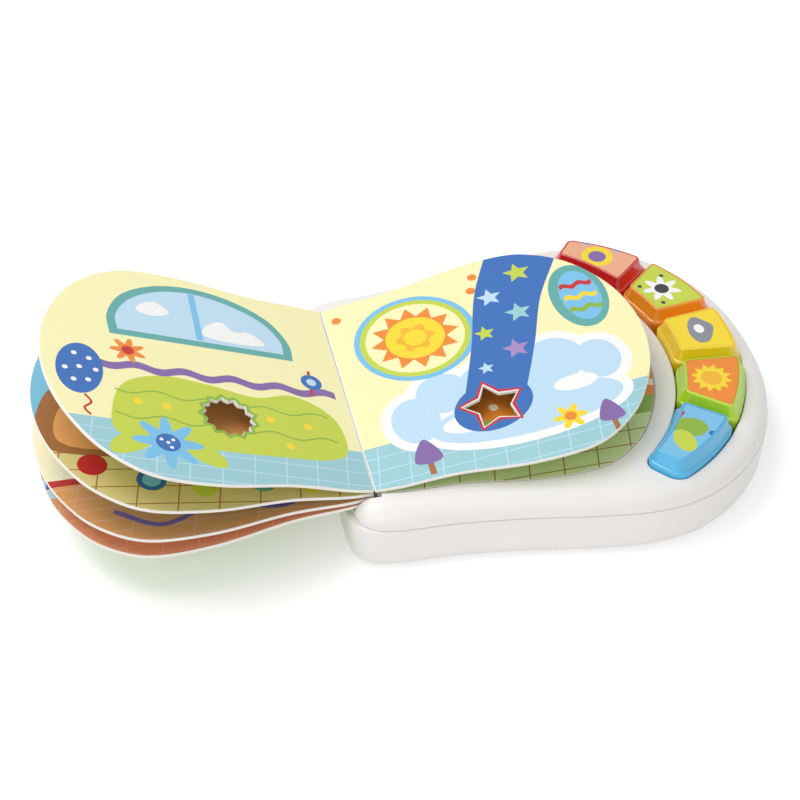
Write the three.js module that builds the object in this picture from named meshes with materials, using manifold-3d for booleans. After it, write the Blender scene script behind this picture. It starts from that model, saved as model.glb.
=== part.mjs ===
// Interactive board book: thick die-cut leaves turning on the edge of a shallow plastic base
// that carries five sound buttons in a crescent. Millimetres, +Z up. The origin is on the
// table, at the middle of the base's underside. The leaves' hinge line runs along Y.
import * as THREE from 'three';
import { mergeVertices } from 'three/addons/utils/BufferGeometryUtils.js';
import Module from 'manifold-3d';

const wasm = await Module();
wasm.setup();

// Clearances
const GAP = 0.3;                // between pieces that rest on or face each other
const SLIDE_GAP = 0.5;          // around a button cap in its window
const SLOT_GAP = 0.4;           // around the switch knob in its slot

// Base, seen from above: distance from the hinge line, and half width
const LEAF_END_OUTLINE = [
  [-12.6, 0], [-12.6, 46], [-12.4, 76], [-10.3, 86.5], [-3.5, 93.4], [8, 96.6], [42, 98.8],
  [80, 104], [120, 111.4], [152, 115],
];
// Its button end, round the crescent's outer arc: angle, and width of the rim beyond the arc
const BUTTON_END_RIM = [[62.9, 9.5], [49.9, 13.2], [37, 14.7], [24.1, 14.2], [12.1, 12.9], [0, 11.9]];
const BASE_CENTRE = 117;        // from the hinge line to the origin
const OUTLINE_STEPS = 2;
const OUTLINE_REACH = 130;      // more than the widest half width
const LEDGE = 0.6;              // the lower shell stands out past the upper one
const SPINE_LEDGE = 3.4;        // more so at the spine end
const NOSE_LENGTH = 22;         // over which that extra ledge fades away
const SEAM_HEIGHT = 30;
const TOP_HEIGHT = 42.6;
const WALL = 2.2;
const TOP_ROUND = 12.5;         // how far in the upper shell's rounded rim reaches
const BOTTOM_ROUND = 6;
const BOTTOM_ROUND_HEIGHT = 7;
const TOP_FLAT_UNDERSIDE = 37.6;
const LIP_DEPTH = 4.5;          // of the lower shell's thickened upper edge

// Leaves, seen from above: distance from the hinge line, and half width
const LEAF_HALF_OUTLINE = [
  [0, 77.5], [14.3, 79.3], [45.8, 80.5], [90.6, 87.3], [127.3, 85.2], [151.3, 70],
  [165.6, 50.6], [174.9, 28.7], [178.9, 0],
];
const LEAF_STEPS = 3;
const BOARD = 2.2;              // thickness of a leaf
const HINGE_HEIGHT = 45;
const LEFT_ANGLES = [22.5, 12.1, 2.6, -2.1];    // of the turned leaves, above level
const RIGHT_ANGLE = 7.8;
const PANEL_SHIFT = 3.7;        // the glued panel starts this far from the hinge line
const PANEL_GAP = 0.4;          // around the panel in its recess

// Die-cut holes in the two open leaves: place, and radii of their outlines
const BURST_HOLE = { x: 77, y: -32.4, outer: 15.3, inner: 12.6, points: 13 };
const STAR_HOLE = { x: 78.7, y: -37.3, outer: 17.5, inner: 9.6, points: 5, turn: 22 };

// Spine channel
const CHANNEL_FLOOR = 32.4;
const CHANNEL_SIDE_GAP = 0.8;   // beyond the leaves' widest place over the base
const BINDING_FROM_HINGE = 1.9;
const BINDING_THICKNESS = 1.2;
const BINDING_TOP_GAP = 0.35;

// Button crescent, between two arcs centred on the base's middle line
const CRESCENT_WIDTH = 42.8;     // at the middle of the base
const OUTER_ARC = { centre: 122.9, radius: 115.7 };
const INNER_CENTRE = 85.3;
const INNER_ARC = {
  centre: INNER_CENTRE,
  radius: OUTER_ARC.centre + OUTER_ARC.radius - CRESCENT_WIDTH - INNER_CENTRE,
};
const INNER_CUTS = [-53.9, -26.9, -9.6, 9.6, 26.9, 53.9];
const OUTER_CUTS = [-68.3, -39.9, -11.5, 11.5, 39.9, 68.3];
const CAP_CORNER = 7;
const LEAST_CORNER = 1.2;
const CORNER_STEPS = 3;
const CAP_ARC_STEPS = 4;
const RING_ARC_STEPS = 20;
const QUARTER_CIRCLE_HANDLE = 0.5523;
const CAP_HEIGHT = 10.9;        // above the upper shell's top
const CAP_HALF_GAP = 0.4;       // half of what parts one cap from the next
const CAP_WALL = 2.2;
const CAP_ROOF = 2;
const CAP_SHOULDER = 1;         // straight part above the upper shell
const CAP_TAPER = 3.5;
const CAP_EDGE_ROUND = 1.1;
const FLANGE = 1.6;
const FLANGE_THICKNESS = 2;
const LABEL = 0.5;
const LABEL_MARGIN = 0.5;
const PLUNGER_RADIUS = 3;
const PLUNGER_DROP = 1.3;       // below the flange
const DOME_HEIGHT = 6.1;
const DOME_RADIUS = 5;
const DOME_FOOT = 7;
const DOME_TOP_RADIUS = 3.4;
const DOME_WALL = 1;

// Circuit boards
const BOARD_PCB = 1.6;
const PCB_INSET = 3;
const POST_RADIUS = 3;
const MAIN_PCB = { x: 2, y: 56, length: 60, width: 36, height: 8 };
const MAIN_PCB_HOLE_INSET = 4;
const PIN_RADIUS = 1;
const CHIP = { size: 12, height: 1.5, x: -8 };
const CAPACITOR = { radius: 3.2, height: 7, fromEnd: 10, y: 8 };

// Speaker, facing down through holes in the base
const SPEAKER_X = -62;
const SPEAKER_RADIUS = 20;
const SPEAKER_RIM = 1.7;
const SPEAKER_DEPTH = 8;
const MAGNET_RADIUS = 10.5;
const MAGNET_HEIGHT = 4.7;
const SOUND_HOLE_RADIUS = 1.7;
const SOUND_HOLE_PITCH = 6;
const SOUND_HOLE_RINGS = 2;

// Battery bay, opening downwards
const BAY_X = 38;
const CELL_RADIUS = 7.25;
const CELL_LENGTH = 50.5;
const CELL_NUB = { radius: 2.75, length: 1.3 };
const CELL_SIDE_GAP = 0.75;
const CONTACT = 0.5;
const SPRING_LENGTH = 3;
const SPRING_WIRE = 0.45;
const DOOR = 2;
const DOOR_LEDGE = 3.5;
const DOOR_TONGUE = 8;          // beyond the ledge, where the door's screw sits
const BAY_WALL = 1.8;

// Screws
const SCREW = { shaft: 1.5, head: 2.8, headHeight: 2.4, slotWidth: 0.9, slotDepth: 1.1 };
const SCREW_REACH = 4.5;        // into the upper shell
const SCREW_SUNK = 18;          // depth of the counterbore
const BOSS_RADIUS = 4;
const LEAF_END_BOSSES = [[7, 83], [118, 99]];
const BUTTON_END_BOSS = { angle: 23.8, beyondArc: 8 };
const DOOR_SCREW_LENGTH = 7;

// Power switch, in the back wall
const SWITCH = { fromHinge: 152, height: 16, knobLength: 7, knobHeight: 4.6, stickOut: 2.4 };
const SWITCH_TRAVEL = 8;
const SWITCH_WALL_CURVE = 2;    // how far the wall bends away along the sliding flange
const SWITCH_FLANGE = { length: 24, height: 7.6, thickness: 1 };
const SWITCH_BODY = { length: 20, depth: 5, height: 7.4 };

// Derived places
const HINGE_X = -BASE_CENTRE;
const LEAF_PITCH = BOARD + GAP;
const FIRST_LEAF_DROP = GAP / 2;
const PANEL_TOP = HINGE_HEIGHT - FIRST_LEAF_DROP - LEAF_PITCH;
const CAP_TOP = TOP_HEIGHT + CAP_HEIGHT;
const FLANGE_TOP = TOP_FLAT_UNDERSIDE - GAP;
const FLANGE_BOTTOM = FLANGE_TOP - FLANGE_THICKNESS;
const PLUNGER_BOTTOM = FLANGE_BOTTOM - PLUNGER_DROP;
const DOME_TOP = PLUNGER_BOTTOM - GAP;
const DOME_BOTTOM = DOME_TOP - DOME_HEIGHT;
const BUTTON_PCB_TOP = DOME_BOTTOM - GAP;
const UPPER_BOTTOM = SEAM_HEIGHT + GAP;
const beyondOuterArc = (angle, distance) => {
  const reach = OUTER_ARC.radius + distance;
  const turn = THREE.MathUtils.degToRad(angle);
  return [OUTER_ARC.centre + reach * Math.cos(turn), reach * Math.sin(turn)];
};
const HALF_OUTLINE = [
  ...LEAF_END_OUTLINE,
  ...BUTTON_END_RIM.map(([angle, width]) => beyondOuterArc(angle, width)),
];
const BOSS_PLACES = [
  ...LEAF_END_BOSSES,
  beyondOuterArc(BUTTON_END_BOSS.angle, BUTTON_END_BOSS.beyondArc),
];

const finish = {
  shell: new THREE.MeshStandardMaterial({ color: 0xeeeae7, roughness: 0.42, metalness: 0 }),
  leafLeft: new THREE.MeshStandardMaterial({ color: 0xfff7b8, roughness: 0.35, metalness: 0 }),
  leafRight: new THREE.MeshStandardMaterial({ color: 0xbce0f7, roughness: 0.35, metalness: 0 }),
  leafInner: new THREE.MeshStandardMaterial({ color: 0xf5b23d, roughness: 0.35, metalness: 0 }),
  cover: new THREE.MeshStandardMaterial({ color: 0xd98a66, roughness: 0.35, metalness: 0 }),
  panel: new THREE.MeshStandardMaterial({ color: 0xf08a2c, roughness: 0.35, metalness: 0 }),
  cloth: new THREE.MeshStandardMaterial({ color: 0xf4f2ee, roughness: 0.9, metalness: 0 }),
  silicone: new THREE.MeshStandardMaterial({ color: 0xd8d6cf, roughness: 0.7, metalness: 0 }),
  circuit: new THREE.MeshStandardMaterial({ color: 0x2f7a45, roughness: 0.5, metalness: 0 }),
  black: new THREE.MeshStandardMaterial({ color: 0x1c1c1e, roughness: 0.5, metalness: 0 }),
  steel: new THREE.MeshStandardMaterial({ color: 0xb9bcc0, roughness: 0.35, metalness: 1 }),
  paperCone: new THREE.MeshStandardMaterial({ color: 0x3a3836, roughness: 0.9, metalness: 0 }),
  cell: new THREE.MeshStandardMaterial({ color: 0x8f9296, roughness: 0.3, metalness: 0.6 }),
  knob: new THREE.MeshStandardMaterial({ color: 0xf5a033, roughness: 0.4, metalness: 0 }),
};
const CAP_COLOURS = {
  blue: 0x5bbce8, green: 0xb4e020, yellow: 0xffd91a, orange: 0xf28c1e, red: 0xc8202a,
};
const LABEL_COLOURS = {
  blue: 0x9fd4f2, green: 0xe98a3e, yellow: 0xf7e42f, orange: 0xb7cf3a, red: 0xf2a96b,
};
const CAP_NAMES = Object.keys(CAP_COLOURS);

// Outlines

const radians = THREE.MathUtils.degToRad;
const point = (x, y) => new THREE.Vector2(x, y);

// Points along a smooth curve, as many to each span between the given ones
function curvePoints(points, perSpan, closed) {
  const places = points.map(([x, y]) => new THREE.Vector3(x, y, 0));
  const curve = new THREE.CatmullRomCurve3(places, closed, 'centripetal');
  const spans = closed ? points.length : points.length - 1;
  const along = curve.getPoints(spans * perSpan).map((p) => point(p.x, p.y));
  if (closed) along.pop();
  return along;
}

function mirrored(half) {
  const back = half.slice(1, -1).reverse();
  return [...half.map(([x, y]) => [x, -y]), ...back.map(([x, y]) => [x, y])];
}

// The outline moved in by a distance, or out by a negative one
function inset(outline, distance) {
  const count = outline.length;
  return outline.map((p, i) => {
    const before = p.clone().sub(outline[(i + count - 1) % count]).normalize();
    const after = outline[(i + 1) % count].clone().sub(p).normalize();
    const along = before.clone().add(after).normalize();
    const mitre = Math.min(1 / Math.max(before.dot(along), 0.5), 1.3);
    return point(p.x - along.y * distance * mitre, p.y + along.x * distance * mitre);
  });
}

function baseOutline(spineLedge, out) {
  const spineEnd = HALF_OUTLINE[0][0];
  const points = mirrored(HALF_OUTLINE).map(([x, y]) => {
    const share = Math.max(0, 1 - (x - spineEnd) / NOSE_LENGTH);
    return [x + HINGE_X - spineLedge * share, y];
  });
  return inset(curvePoints(points, OUTLINE_STEPS, true), -out);
}

function leafOutline() {
  const front = LEAF_HALF_OUTLINE.map(([x, y]) => [x, -y]);
  const back = LEAF_HALF_OUTLINE.slice(0, -1).reverse();
  return curvePoints([...front, ...back], LEAF_STEPS, false);
}

function circle(radius, sides, x = 0, y = 0) {
  return Array.from({ length: sides }, (_, i) => {
    const angle = (2 * Math.PI * i) / sides;
    return point(x + radius * Math.cos(angle), y + radius * Math.sin(angle));
  });
}

function burst({ x, y, outer, inner, points, turn = 0 }) {
  return Array.from({ length: points * 2 }, (_, i) => {
    const angle = (Math.PI * i) / points + radians(turn);
    const radius = i % 2 ? inner : outer;
    return point(x + radius * Math.cos(angle), y + radius * Math.sin(angle));
  });
}

const arcCentre = (arc) => point(HINGE_X + arc.centre, 0);
const arcPoint = (arc, angle) => arcCentre(arc).add(
  point(Math.cos(angle), Math.sin(angle)).multiplyScalar(arc.radius),
);

// Where a cut line, moved sideways into its slice, meets the crescent's two arcs
function cutLine(index, shrink, side, innerArc, outerArc) {
  const start = arcPoint(INNER_ARC, radians(INNER_CUTS[index]));
  const along = arcPoint(OUTER_ARC, radians(OUTER_CUTS[index])).sub(start).normalize();
  start.add(point(-along.y, along.x).multiplyScalar(side * shrink));
  const meet = (arc) => {
    const offset = start.clone().sub(arcCentre(arc));
    const b = offset.dot(along);
    const reach = -b + Math.sqrt(b * b - offset.lengthSq() + arc.radius ** 2);
    return start.clone().addScaledVector(along, reach);
  };
  return { inner: meet(innerArc), outer: meet(outerArc) };
}

// The stretch of the crescent between two cut lines, moved in all round by a distance,
// with rounded corners. Every distance gives the same number of points.
function crescent(from, to, arcSteps, shrink) {
  const innerArc = { ...INNER_ARC, radius: INNER_ARC.radius + shrink };
  const outerArc = { ...OUTER_ARC, radius: OUTER_ARC.radius - shrink };
  const start = cutLine(from, shrink, 1, innerArc, outerArc);
  const end = cutLine(to, shrink, -1, innerArc, outerArc);
  const trim = Math.max(CAP_CORNER - shrink, LEAST_CORNER);
  const angleOf = (arc, p) => p.clone().sub(arcCentre(arc)).angle();
  const signed = (angle) => (angle > Math.PI ? angle - 2 * Math.PI : angle);
  const outerStart = signed(angleOf(outerArc, start.outer)) + trim / outerArc.radius;
  const outerEnd = signed(angleOf(outerArc, end.outer)) - trim / outerArc.radius;
  const innerStart = signed(angleOf(innerArc, end.inner)) - trim / innerArc.radius;
  const innerEnd = signed(angleOf(innerArc, start.inner)) + trim / innerArc.radius;
  const outline = [];
  const fillet = (first, corner, last) => {
    const handles = [first, last].map((p) => p.clone().lerp(corner, QUARTER_CIRCLE_HANDLE));
    outline.push(...new THREE.CubicBezierCurve(first, ...handles, last).getPoints(CORNER_STEPS));
  };
  const towards = (a, b) => a.clone().add(b.clone().sub(a).setLength(trim));
  const sweep = (arc, first, last) => {
    for (let i = 1; i < arcSteps; i += 1) {
      outline.push(arcPoint(arc, THREE.MathUtils.lerp(first, last, i / arcSteps)));
    }
  };
  fillet(towards(start.outer, start.inner), start.outer, arcPoint(outerArc, outerStart));
  sweep(outerArc, outerStart, outerEnd);
  fillet(arcPoint(outerArc, outerEnd), end.outer, towards(end.outer, end.inner));
  fillet(towards(end.inner, end.outer), end.inner, arcPoint(innerArc, innerStart));
  sweep(innerArc, innerStart, innerEnd);
  fillet(arcPoint(innerArc, innerEnd), start.inner, towards(start.inner, start.outer));
  return outline;
}

// Solids

function solid(geometry) {
  const plain = geometry.clone();
  plain.deleteAttribute('normal');
  plain.deleteAttribute('uv');
  const merged = mergeVertices(plain, 1e-4);
  const corners = [];
  for (let i = 0; i < merged.index.count; i += 3) {
    const [a, b, c] = [0, 1, 2].map((k) => merged.index.getX(i + k));
    if (a !== b && b !== c && c !== a) corners.push(a, b, c);
  }
  return new wasm.Manifold(new wasm.Mesh({
    numProp: 3,
    vertProperties: new Float32Array(merged.attributes.position.array),
    triVerts: new Uint32Array(corners),
  }));
}

// A closed skin through a stack of outlines that all have the same number of points
function loft(rings) {
  const count = rings[0].outline.length;
  const positions = rings.flatMap(({ outline, z }) => outline.flatMap((p) => [p.x, p.y, z]));
  const faces = [];
  for (let ring = 0; ring < rings.length - 1; ring += 1) {
    for (let i = 0; i < count; i += 1) {
      const next = (i + 1) % count;
      const [a, b] = [ring * count + i, ring * count + next];
      faces.push(a, b, b + count, a, b + count, a + count);
    }
  }
  const last = (rings.length - 1) * count;
  for (const [a, b, c] of THREE.ShapeUtils.triangulateShape(rings[0].outline, [])) faces.push(a, c, b);
  for (const [a, b, c] of THREE.ShapeUtils.triangulateShape(rings.at(-1).outline, [])) {
    faces.push(last + a, last + b, last + c);
  }
  const geometry = new THREE.BufferGeometry();
  geometry.setAttribute('position', new THREE.Float32BufferAttribute(positions, 3));
  geometry.setIndex(faces);
  return geometry;
}

const prism = (outline, low, high) => solid(loft([{ outline, z: low }, { outline, z: high }]));

const cylinder = (radius, low, high, x = 0, y = 0, sides = 14) => (
  prism(circle(radius, sides, x, y), low, high)
);

// A turned form on a vertical axis, from [radius, height] pairs
const turned = (profile, x = 0, y = 0, sides = 20) => (
  solid(loft(profile.map(([radius, z]) => ({ outline: circle(radius, sides, x, y), z }))))
);

function block(x, y, z) {
  const geometry = new THREE.BoxGeometry(x[1] - x[0], y[1] - y[0], z[1] - z[0]);
  geometry.translate((x[0] + x[1]) / 2, (y[0] + y[1]) / 2, (z[0] + z[1]) / 2);
  return solid(geometry);
}

const joined = (...solids) => solids.reduce((sum, next) => sum.add(next));
const cut = (body, ...tools) => tools.reduce((rest, tool) => rest.subtract(tool), body);

const SLIVER = 0.02;            // edges shorter than this are closed up
const book = new THREE.Group();

function piece(name, body, material, parent = book) {
  const { vertProperties, triVerts } = body.simplify(SLIVER).getMesh();
  const geometry = new THREE.BufferGeometry();
  geometry.setAttribute('position', new THREE.Float32BufferAttribute(vertProperties, 3));
  geometry.setIndex([...triVerts]);
  geometry.computeVertexNormals();
  const mesh = new THREE.Mesh(geometry, material);
  mesh.name = name;
  parent.add(mesh);
  return mesh;
}

// Base shells

const upperOutline = baseOutline(0, 0);
const lowerOutline = baseOutline(SPINE_LEDGE, LEDGE);
const bothSides = ([x, y]) => [[HINGE_X + x, -y], [HINGE_X + x, y]];
const bossPlaces = BOSS_PLACES.flatMap(bothSides);

// Rings of a quarter-round edge, from flat to upright
function roundedRings(outline, reach, flatZ, uprightZ, steps, wall = 0) {
  return Array.from({ length: steps + 1 }, (_, i) => {
    const angle = (Math.PI / 2) * (i / steps);
    return {
      outline: inset(outline, wall + (reach - wall) * (1 - Math.sin(angle))),
      z: uprightZ + (flatZ - uprightZ) * Math.cos(angle),
    };
  });
}

function buttonWindow() {
  return prism(crescent(0, CAP_NAMES.length, RING_ARC_STEPS, CAP_HALF_GAP - SLIDE_GAP), SEAM_HEIGHT, CAP_TOP);
}

function upperShell() {
  const rimBase = UPPER_BOTTOM + 1.2;
  const rim = roundedRings(upperOutline, TOP_ROUND, TOP_HEIGHT, rimBase, 5).reverse();
  const outside = solid(loft([{ outline: upperOutline, z: UPPER_BOTTOM }, ...rim]));
  const cavity = solid(loft([
    { outline: inset(upperOutline, WALL), z: SEAM_HEIGHT },
    { outline: inset(upperOutline, WALL + 0.5), z: UPPER_BOTTOM + 4 },
    { outline: inset(upperOutline, 2 * WALL), z: TOP_FLAT_UNDERSIDE },
  ]));
  const channelEnd = HINGE_X + BINDING_FROM_HINGE + BINDING_THICKNESS + GAP;
  const spineEnd = lowerOutline.reduce((least, p) => Math.min(least, p.x), 0) - 1;
  const channelHalf = LEAF_HALF_OUTLINE[1][1] + CHANNEL_SIDE_GAP;
  const solidEnd = block(
    [spineEnd, channelEnd + WALL],
    [-OUTLINE_REACH, OUTLINE_REACH],
    [SEAM_HEIGHT - 1, TOP_HEIGHT],
  );
  const channel = block([spineEnd, channelEnd], [-channelHalf, channelHalf], [CHANNEL_FLOOR, TOP_HEIGHT + 1]);
  const recessFloor = PANEL_TOP - BOARD - GAP;
  const panelOutline = leafOutline().map((p) => point(p.x + HINGE_X + PANEL_SHIFT, p.y));
  const recess = prism(inset(panelOutline, -PANEL_GAP), recessFloor, TOP_HEIGHT + 1);
  const posts = bossPlaces.map(([x, y]) => cylinder(BOSS_RADIUS, UPPER_BOTTOM, TOP_FLAT_UNDERSIDE + 1, x, y));
  const bores = bossPlaces.map(([x, y]) => (
    cylinder(SCREW.shaft + 0.25, SEAM_HEIGHT - 1, SEAM_HEIGHT + SCREW_REACH + 1, x, y, 14)
  ));
  const shell = cut(outside, cut(cavity, solidEnd));
  const withPosts = shell.add(joined(...posts).intersect(outside));
  return cut(withPosts, channel, recess, buttonWindow(), ...bores);
}

function soundHoles() {
  const holes = [cylinder(SOUND_HOLE_RADIUS, -1, WALL + 1, SPEAKER_X, 0, 8)];
  for (let ring = 1; ring <= SOUND_HOLE_RINGS; ring += 1) {
    for (let i = 0; i < ring * 6; i += 1) {
      const angle = (2 * Math.PI * i) / (ring * 6);
      const x = SPEAKER_X + ring * SOUND_HOLE_PITCH * Math.cos(angle);
      const y = ring * SOUND_HOLE_PITCH * Math.sin(angle);
      holes.push(cylinder(SOUND_HOLE_RADIUS, -1, WALL + 1, x, y, 8));
    }
  }
  return joined(...holes);
}

const bayHalf = {
  x: CELL_LENGTH / 2 + SPRING_LENGTH / 2 + CONTACT + 2 * GAP,
  y: 2 * CELL_RADIUS + 1.5 * CELL_SIDE_GAP,
};
const bayCeiling = DOOR + 2 * GAP + 2 * CELL_RADIUS + GAP;
const doorHalf = { x: bayHalf.x + DOOR_LEDGE, y: bayHalf.y + DOOR_LEDGE };
const doorScrewX = BAY_X + doorHalf.x + DOOR_TONGUE / 2;

function batteryBay() {
  const frame = block(
    [BAY_X - doorHalf.x - BAY_WALL - GAP, BAY_X + doorHalf.x + BAY_WALL + GAP],
    [-doorHalf.y - BAY_WALL - GAP, doorHalf.y + BAY_WALL + GAP],
    [0, DOOR + GAP + WALL],
  );
  const walls = block(
    [BAY_X - bayHalf.x - BAY_WALL, BAY_X + bayHalf.x + BAY_WALL],
    [-bayHalf.y - BAY_WALL, bayHalf.y + BAY_WALL],
    [0, bayCeiling + BAY_WALL],
  );
  return frame.add(walls).add(cylinder(BOSS_RADIUS, 0, DOOR_SCREW_LENGTH + 3, doorScrewX, 0));
}

function batteryBayHollow() {
  const hollow = block(
    [BAY_X - bayHalf.x, BAY_X + bayHalf.x],
    [-bayHalf.y, bayHalf.y],
    [-1, bayCeiling],
  );
  const seat = block(
    [BAY_X - doorHalf.x - GAP, BAY_X + doorHalf.x + GAP],
    [-doorHalf.y - GAP, doorHalf.y + GAP],
    [-1, DOOR + GAP],
  );
  const tongue = block(
    [BAY_X + doorHalf.x - 1, BAY_X + doorHalf.x + DOOR_TONGUE + GAP],
    [-DOOR_TONGUE / 2 - GAP, DOOR_TONGUE / 2 + GAP],
    [-1, DOOR + GAP],
  );
  const bore = cylinder(SCREW.shaft + 0.25, 0, DOOR_SCREW_LENGTH + 1, doorScrewX, 0, 14);
  return joined(hollow, seat, tongue, bore);
}

const switchX = HINGE_X + SWITCH.fromHinge;
const backWall = lowerOutline.reduce((most, p) => Math.max(most, p.y), 0);
const switchFlangeY = backWall - WALL - SWITCH_WALL_CURVE - SLOT_GAP - SWITCH_FLANGE.thickness;
const switchBodyY = switchFlangeY - SLOT_GAP - SWITCH_BODY.depth;
const switchShelf = SWITCH.height - SWITCH_BODY.height / 2 - GAP;

const pcbPosts = [-1, 1].flatMap((sx) => [-1, 1].map((sy) => [
  MAIN_PCB.x + sx * (MAIN_PCB.length / 2 - MAIN_PCB_HOLE_INSET),
  MAIN_PCB.y + sy * (MAIN_PCB.width / 2 - MAIN_PCB_HOLE_INSET),
]));
const buttonPosts = INNER_CUTS.map((innerCut, i) => {
  const a = arcPoint(INNER_ARC, radians(innerCut * 0.94));
  const b = arcPoint(OUTER_ARC, radians(OUTER_CUTS[i] * 0.94));
  const middle = a.lerp(b, 0.5);
  return [middle.x, middle.y];
});

function lowerShell() {
  const outside = solid(loft([
    ...roundedRings(lowerOutline, BOTTOM_ROUND, 0, BOTTOM_ROUND_HEIGHT, 4),
    { outline: lowerOutline, z: SEAM_HEIGHT },
  ]));
  const inside = solid(loft([
    ...roundedRings(lowerOutline, BOTTOM_ROUND - 1, WALL, BOTTOM_ROUND_HEIGHT, 3, WALL),
    { outline: inset(lowerOutline, WALL), z: SEAM_HEIGHT - LIP_DEPTH },
    { outline: inset(upperOutline, WALL), z: SEAM_HEIGHT - LIP_DEPTH / 2 },
    { outline: inset(upperOutline, WALL), z: SEAM_HEIGHT + 1 },
  ]));
  const speakerRib = cut(
    cylinder(SPEAKER_RADIUS + GAP + BAY_WALL, 1, WALL + 5, SPEAKER_X, 0, 24),
    cylinder(SPEAKER_RADIUS + GAP, 0, WALL + 6, SPEAKER_X, 0, 24),
  );
  const mainPosts = pcbPosts.map(([x, y]) => joined(
    cylinder(POST_RADIUS, 1, MAIN_PCB.height, x, y, 10),
    cylinder(PIN_RADIUS, 2, MAIN_PCB.height + BOARD_PCB + 1, x, y, 6),
  ));
  const ringPosts = buttonPosts.map(([x, y]) => (
    cylinder(POST_RADIUS, 1, BUTTON_PCB_TOP - BOARD_PCB - GAP, x, y, 10)
  ));
  const bosses = bossPlaces.map(([x, y]) => cylinder(BOSS_RADIUS, 0, SEAM_HEIGHT, x, y));
  const shelf = block(
    [switchX - SWITCH_BODY.length / 2, switchX + SWITCH_BODY.length / 2],
    [switchBodyY, switchBodyY + SWITCH_BODY.depth],
    [1, switchShelf],
  );
  const inner = joined(speakerRib, ...mainPosts, ...ringPosts, ...bosses, shelf, batteryBay());
  const screwBores = bossPlaces.map(([x, y]) => joined(
    cylinder(SCREW.shaft + 0.25, 1, SEAM_HEIGHT + 1, x, y, 14),
    cylinder(SCREW.head + 0.5, -1, SCREW_SUNK, x, y, 16),
  ));
  const knobHalf = SWITCH.knobLength / 2 + SWITCH_TRAVEL / 2 + SLOT_GAP;
  const slotHalf = SWITCH.knobHeight / 2 + SLOT_GAP;
  const slot = block(
    [switchX - knobHalf, switchX + knobHalf],
    [backWall - 3 * WALL, backWall + 1],
    [SWITCH.height - slotHalf, SWITCH.height + slotHalf],
  );
  const shell = cut(outside, inside).add(inner.intersect(outside));
  return cut(shell, batteryBayHollow(), soundHoles(), slot, ...screwBores);
}

piece('upper_shell', upperShell(), finish.shell);
piece('lower_shell', lowerShell(), finish.shell);

// Board parts

const leafShape = leafOutline();
const leftShape = leafShape.map((p) => point(-p.x, p.y)).reverse();
const mirroredHole = (hole) => burst(hole).map((p) => point(-p.x, p.y)).reverse();

const hinge = new THREE.Group();
hinge.position.set(HINGE_X, 0, HINGE_HEIGHT);
book.add(hinge);

function leaf(name, outline, index, angle, material, hole) {
  const top = -FIRST_LEAF_DROP - index * LEAF_PITCH;
  let body = prism(outline, top - BOARD, top);
  if (hole) body = body.subtract(prism(hole, top - BOARD - 1, top + 1));
  const mesh = piece(name, body, material, hinge);
  mesh.rotation.y = radians(angle);
}

const LEFT_NAMES = ['left_leaf_1', 'left_leaf_2', 'left_leaf_3', 'front_cover'];
const LEFT_FINISHES = [finish.leafLeft, finish.leafInner, finish.leafRight, finish.cover];
LEFT_NAMES.forEach((name, i) => {
  const hole = i === 0 ? mirroredHole(BURST_HOLE) : null;
  leaf(name, leftShape, i, LEFT_ANGLES[i], LEFT_FINISHES[i], hole);
});
leaf('right_leaf', leafShape, 0, -RIGHT_ANGLE, finish.leafRight, burst(STAR_HOLE));

const panel = piece('page_panel', prism(leafShape, PANEL_TOP - BOARD, PANEL_TOP), finish.panel);
panel.position.x = HINGE_X + PANEL_SHIFT;

const bindingX = HINGE_X + BINDING_FROM_HINGE;
const spineHalf = LEAF_HALF_OUTLINE[0][1];
piece('spine_binding', block(
  [bindingX, bindingX + BINDING_THICKNESS],
  [-spineHalf, spineHalf],
  [CHANNEL_FLOOR + GAP, PANEL_TOP - BINDING_TOP_GAP],
), finish.cloth);

// Sound buttons

function buttonCap(index, x, y) {
  const ring = (shrink, z) => ({ outline: crescent(index, index + 1, CAP_ARC_STEPS, CAP_HALF_GAP + shrink), z });
  const shoulder = TOP_HEIGHT + CAP_SHOULDER;
  const taperTop = CAP_TOP - CAP_EDGE_ROUND;
  const topInset = CAP_TAPER + CAP_EDGE_ROUND;
  const skin = solid(loft([
    ring(0, FLANGE_BOTTOM),
    ring(0, shoulder),
    ring(0.6, shoulder + 1.2),
    ring(CAP_TAPER, taperTop),
    ring(CAP_TAPER + 0.3 * CAP_EDGE_ROUND, CAP_TOP - 0.3 * CAP_EDGE_ROUND),
    ring(topInset, CAP_TOP),
  ]));
  const hollow = solid(loft([
    ring(CAP_WALL, FLANGE_BOTTOM - 1),
    ring(CAP_WALL, shoulder),
    ring(CAP_WALL + 0.7 * CAP_TAPER, CAP_TOP - LABEL - GAP - CAP_ROOF),
  ]));
  const seat = ring(topInset + LABEL_MARGIN - GAP, 0).outline;
  const labelSeat = prism(seat, CAP_TOP - LABEL - GAP, CAP_TOP + 1);
  const plunger = cylinder(PLUNGER_RADIUS, PLUNGER_BOTTOM, CAP_TOP - CAP_ROOF, x, y, 14);
  return cut(skin, hollow, labelSeat).add(plunger);
}

// Feet along the two arcs that stop a cap under the window's edge
function capFlange(index) {
  const skirt = crescent(index, index + 1, CAP_ARC_STEPS, CAP_HALF_GAP);
  const grown = skirt.map((p) => {
    const inner = p.distanceTo(arcCentre(INNER_ARC)) < INNER_ARC.radius + 2 * FLANGE;
    const direction = p.clone().sub(arcCentre(inner ? INNER_ARC : OUTER_ARC)).normalize();
    return p.clone().addScaledVector(direction, inner ? -FLANGE : FLANGE);
  });
  const within = crescent(index, index + 1, CAP_ARC_STEPS, CAP_HALF_GAP + CAP_WALL);
  return cut(
    prism(grown, FLANGE_BOTTOM, FLANGE_TOP),
    prism(within, FLANGE_BOTTOM - 1, FLANGE_TOP + 1),
  );
}

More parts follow.
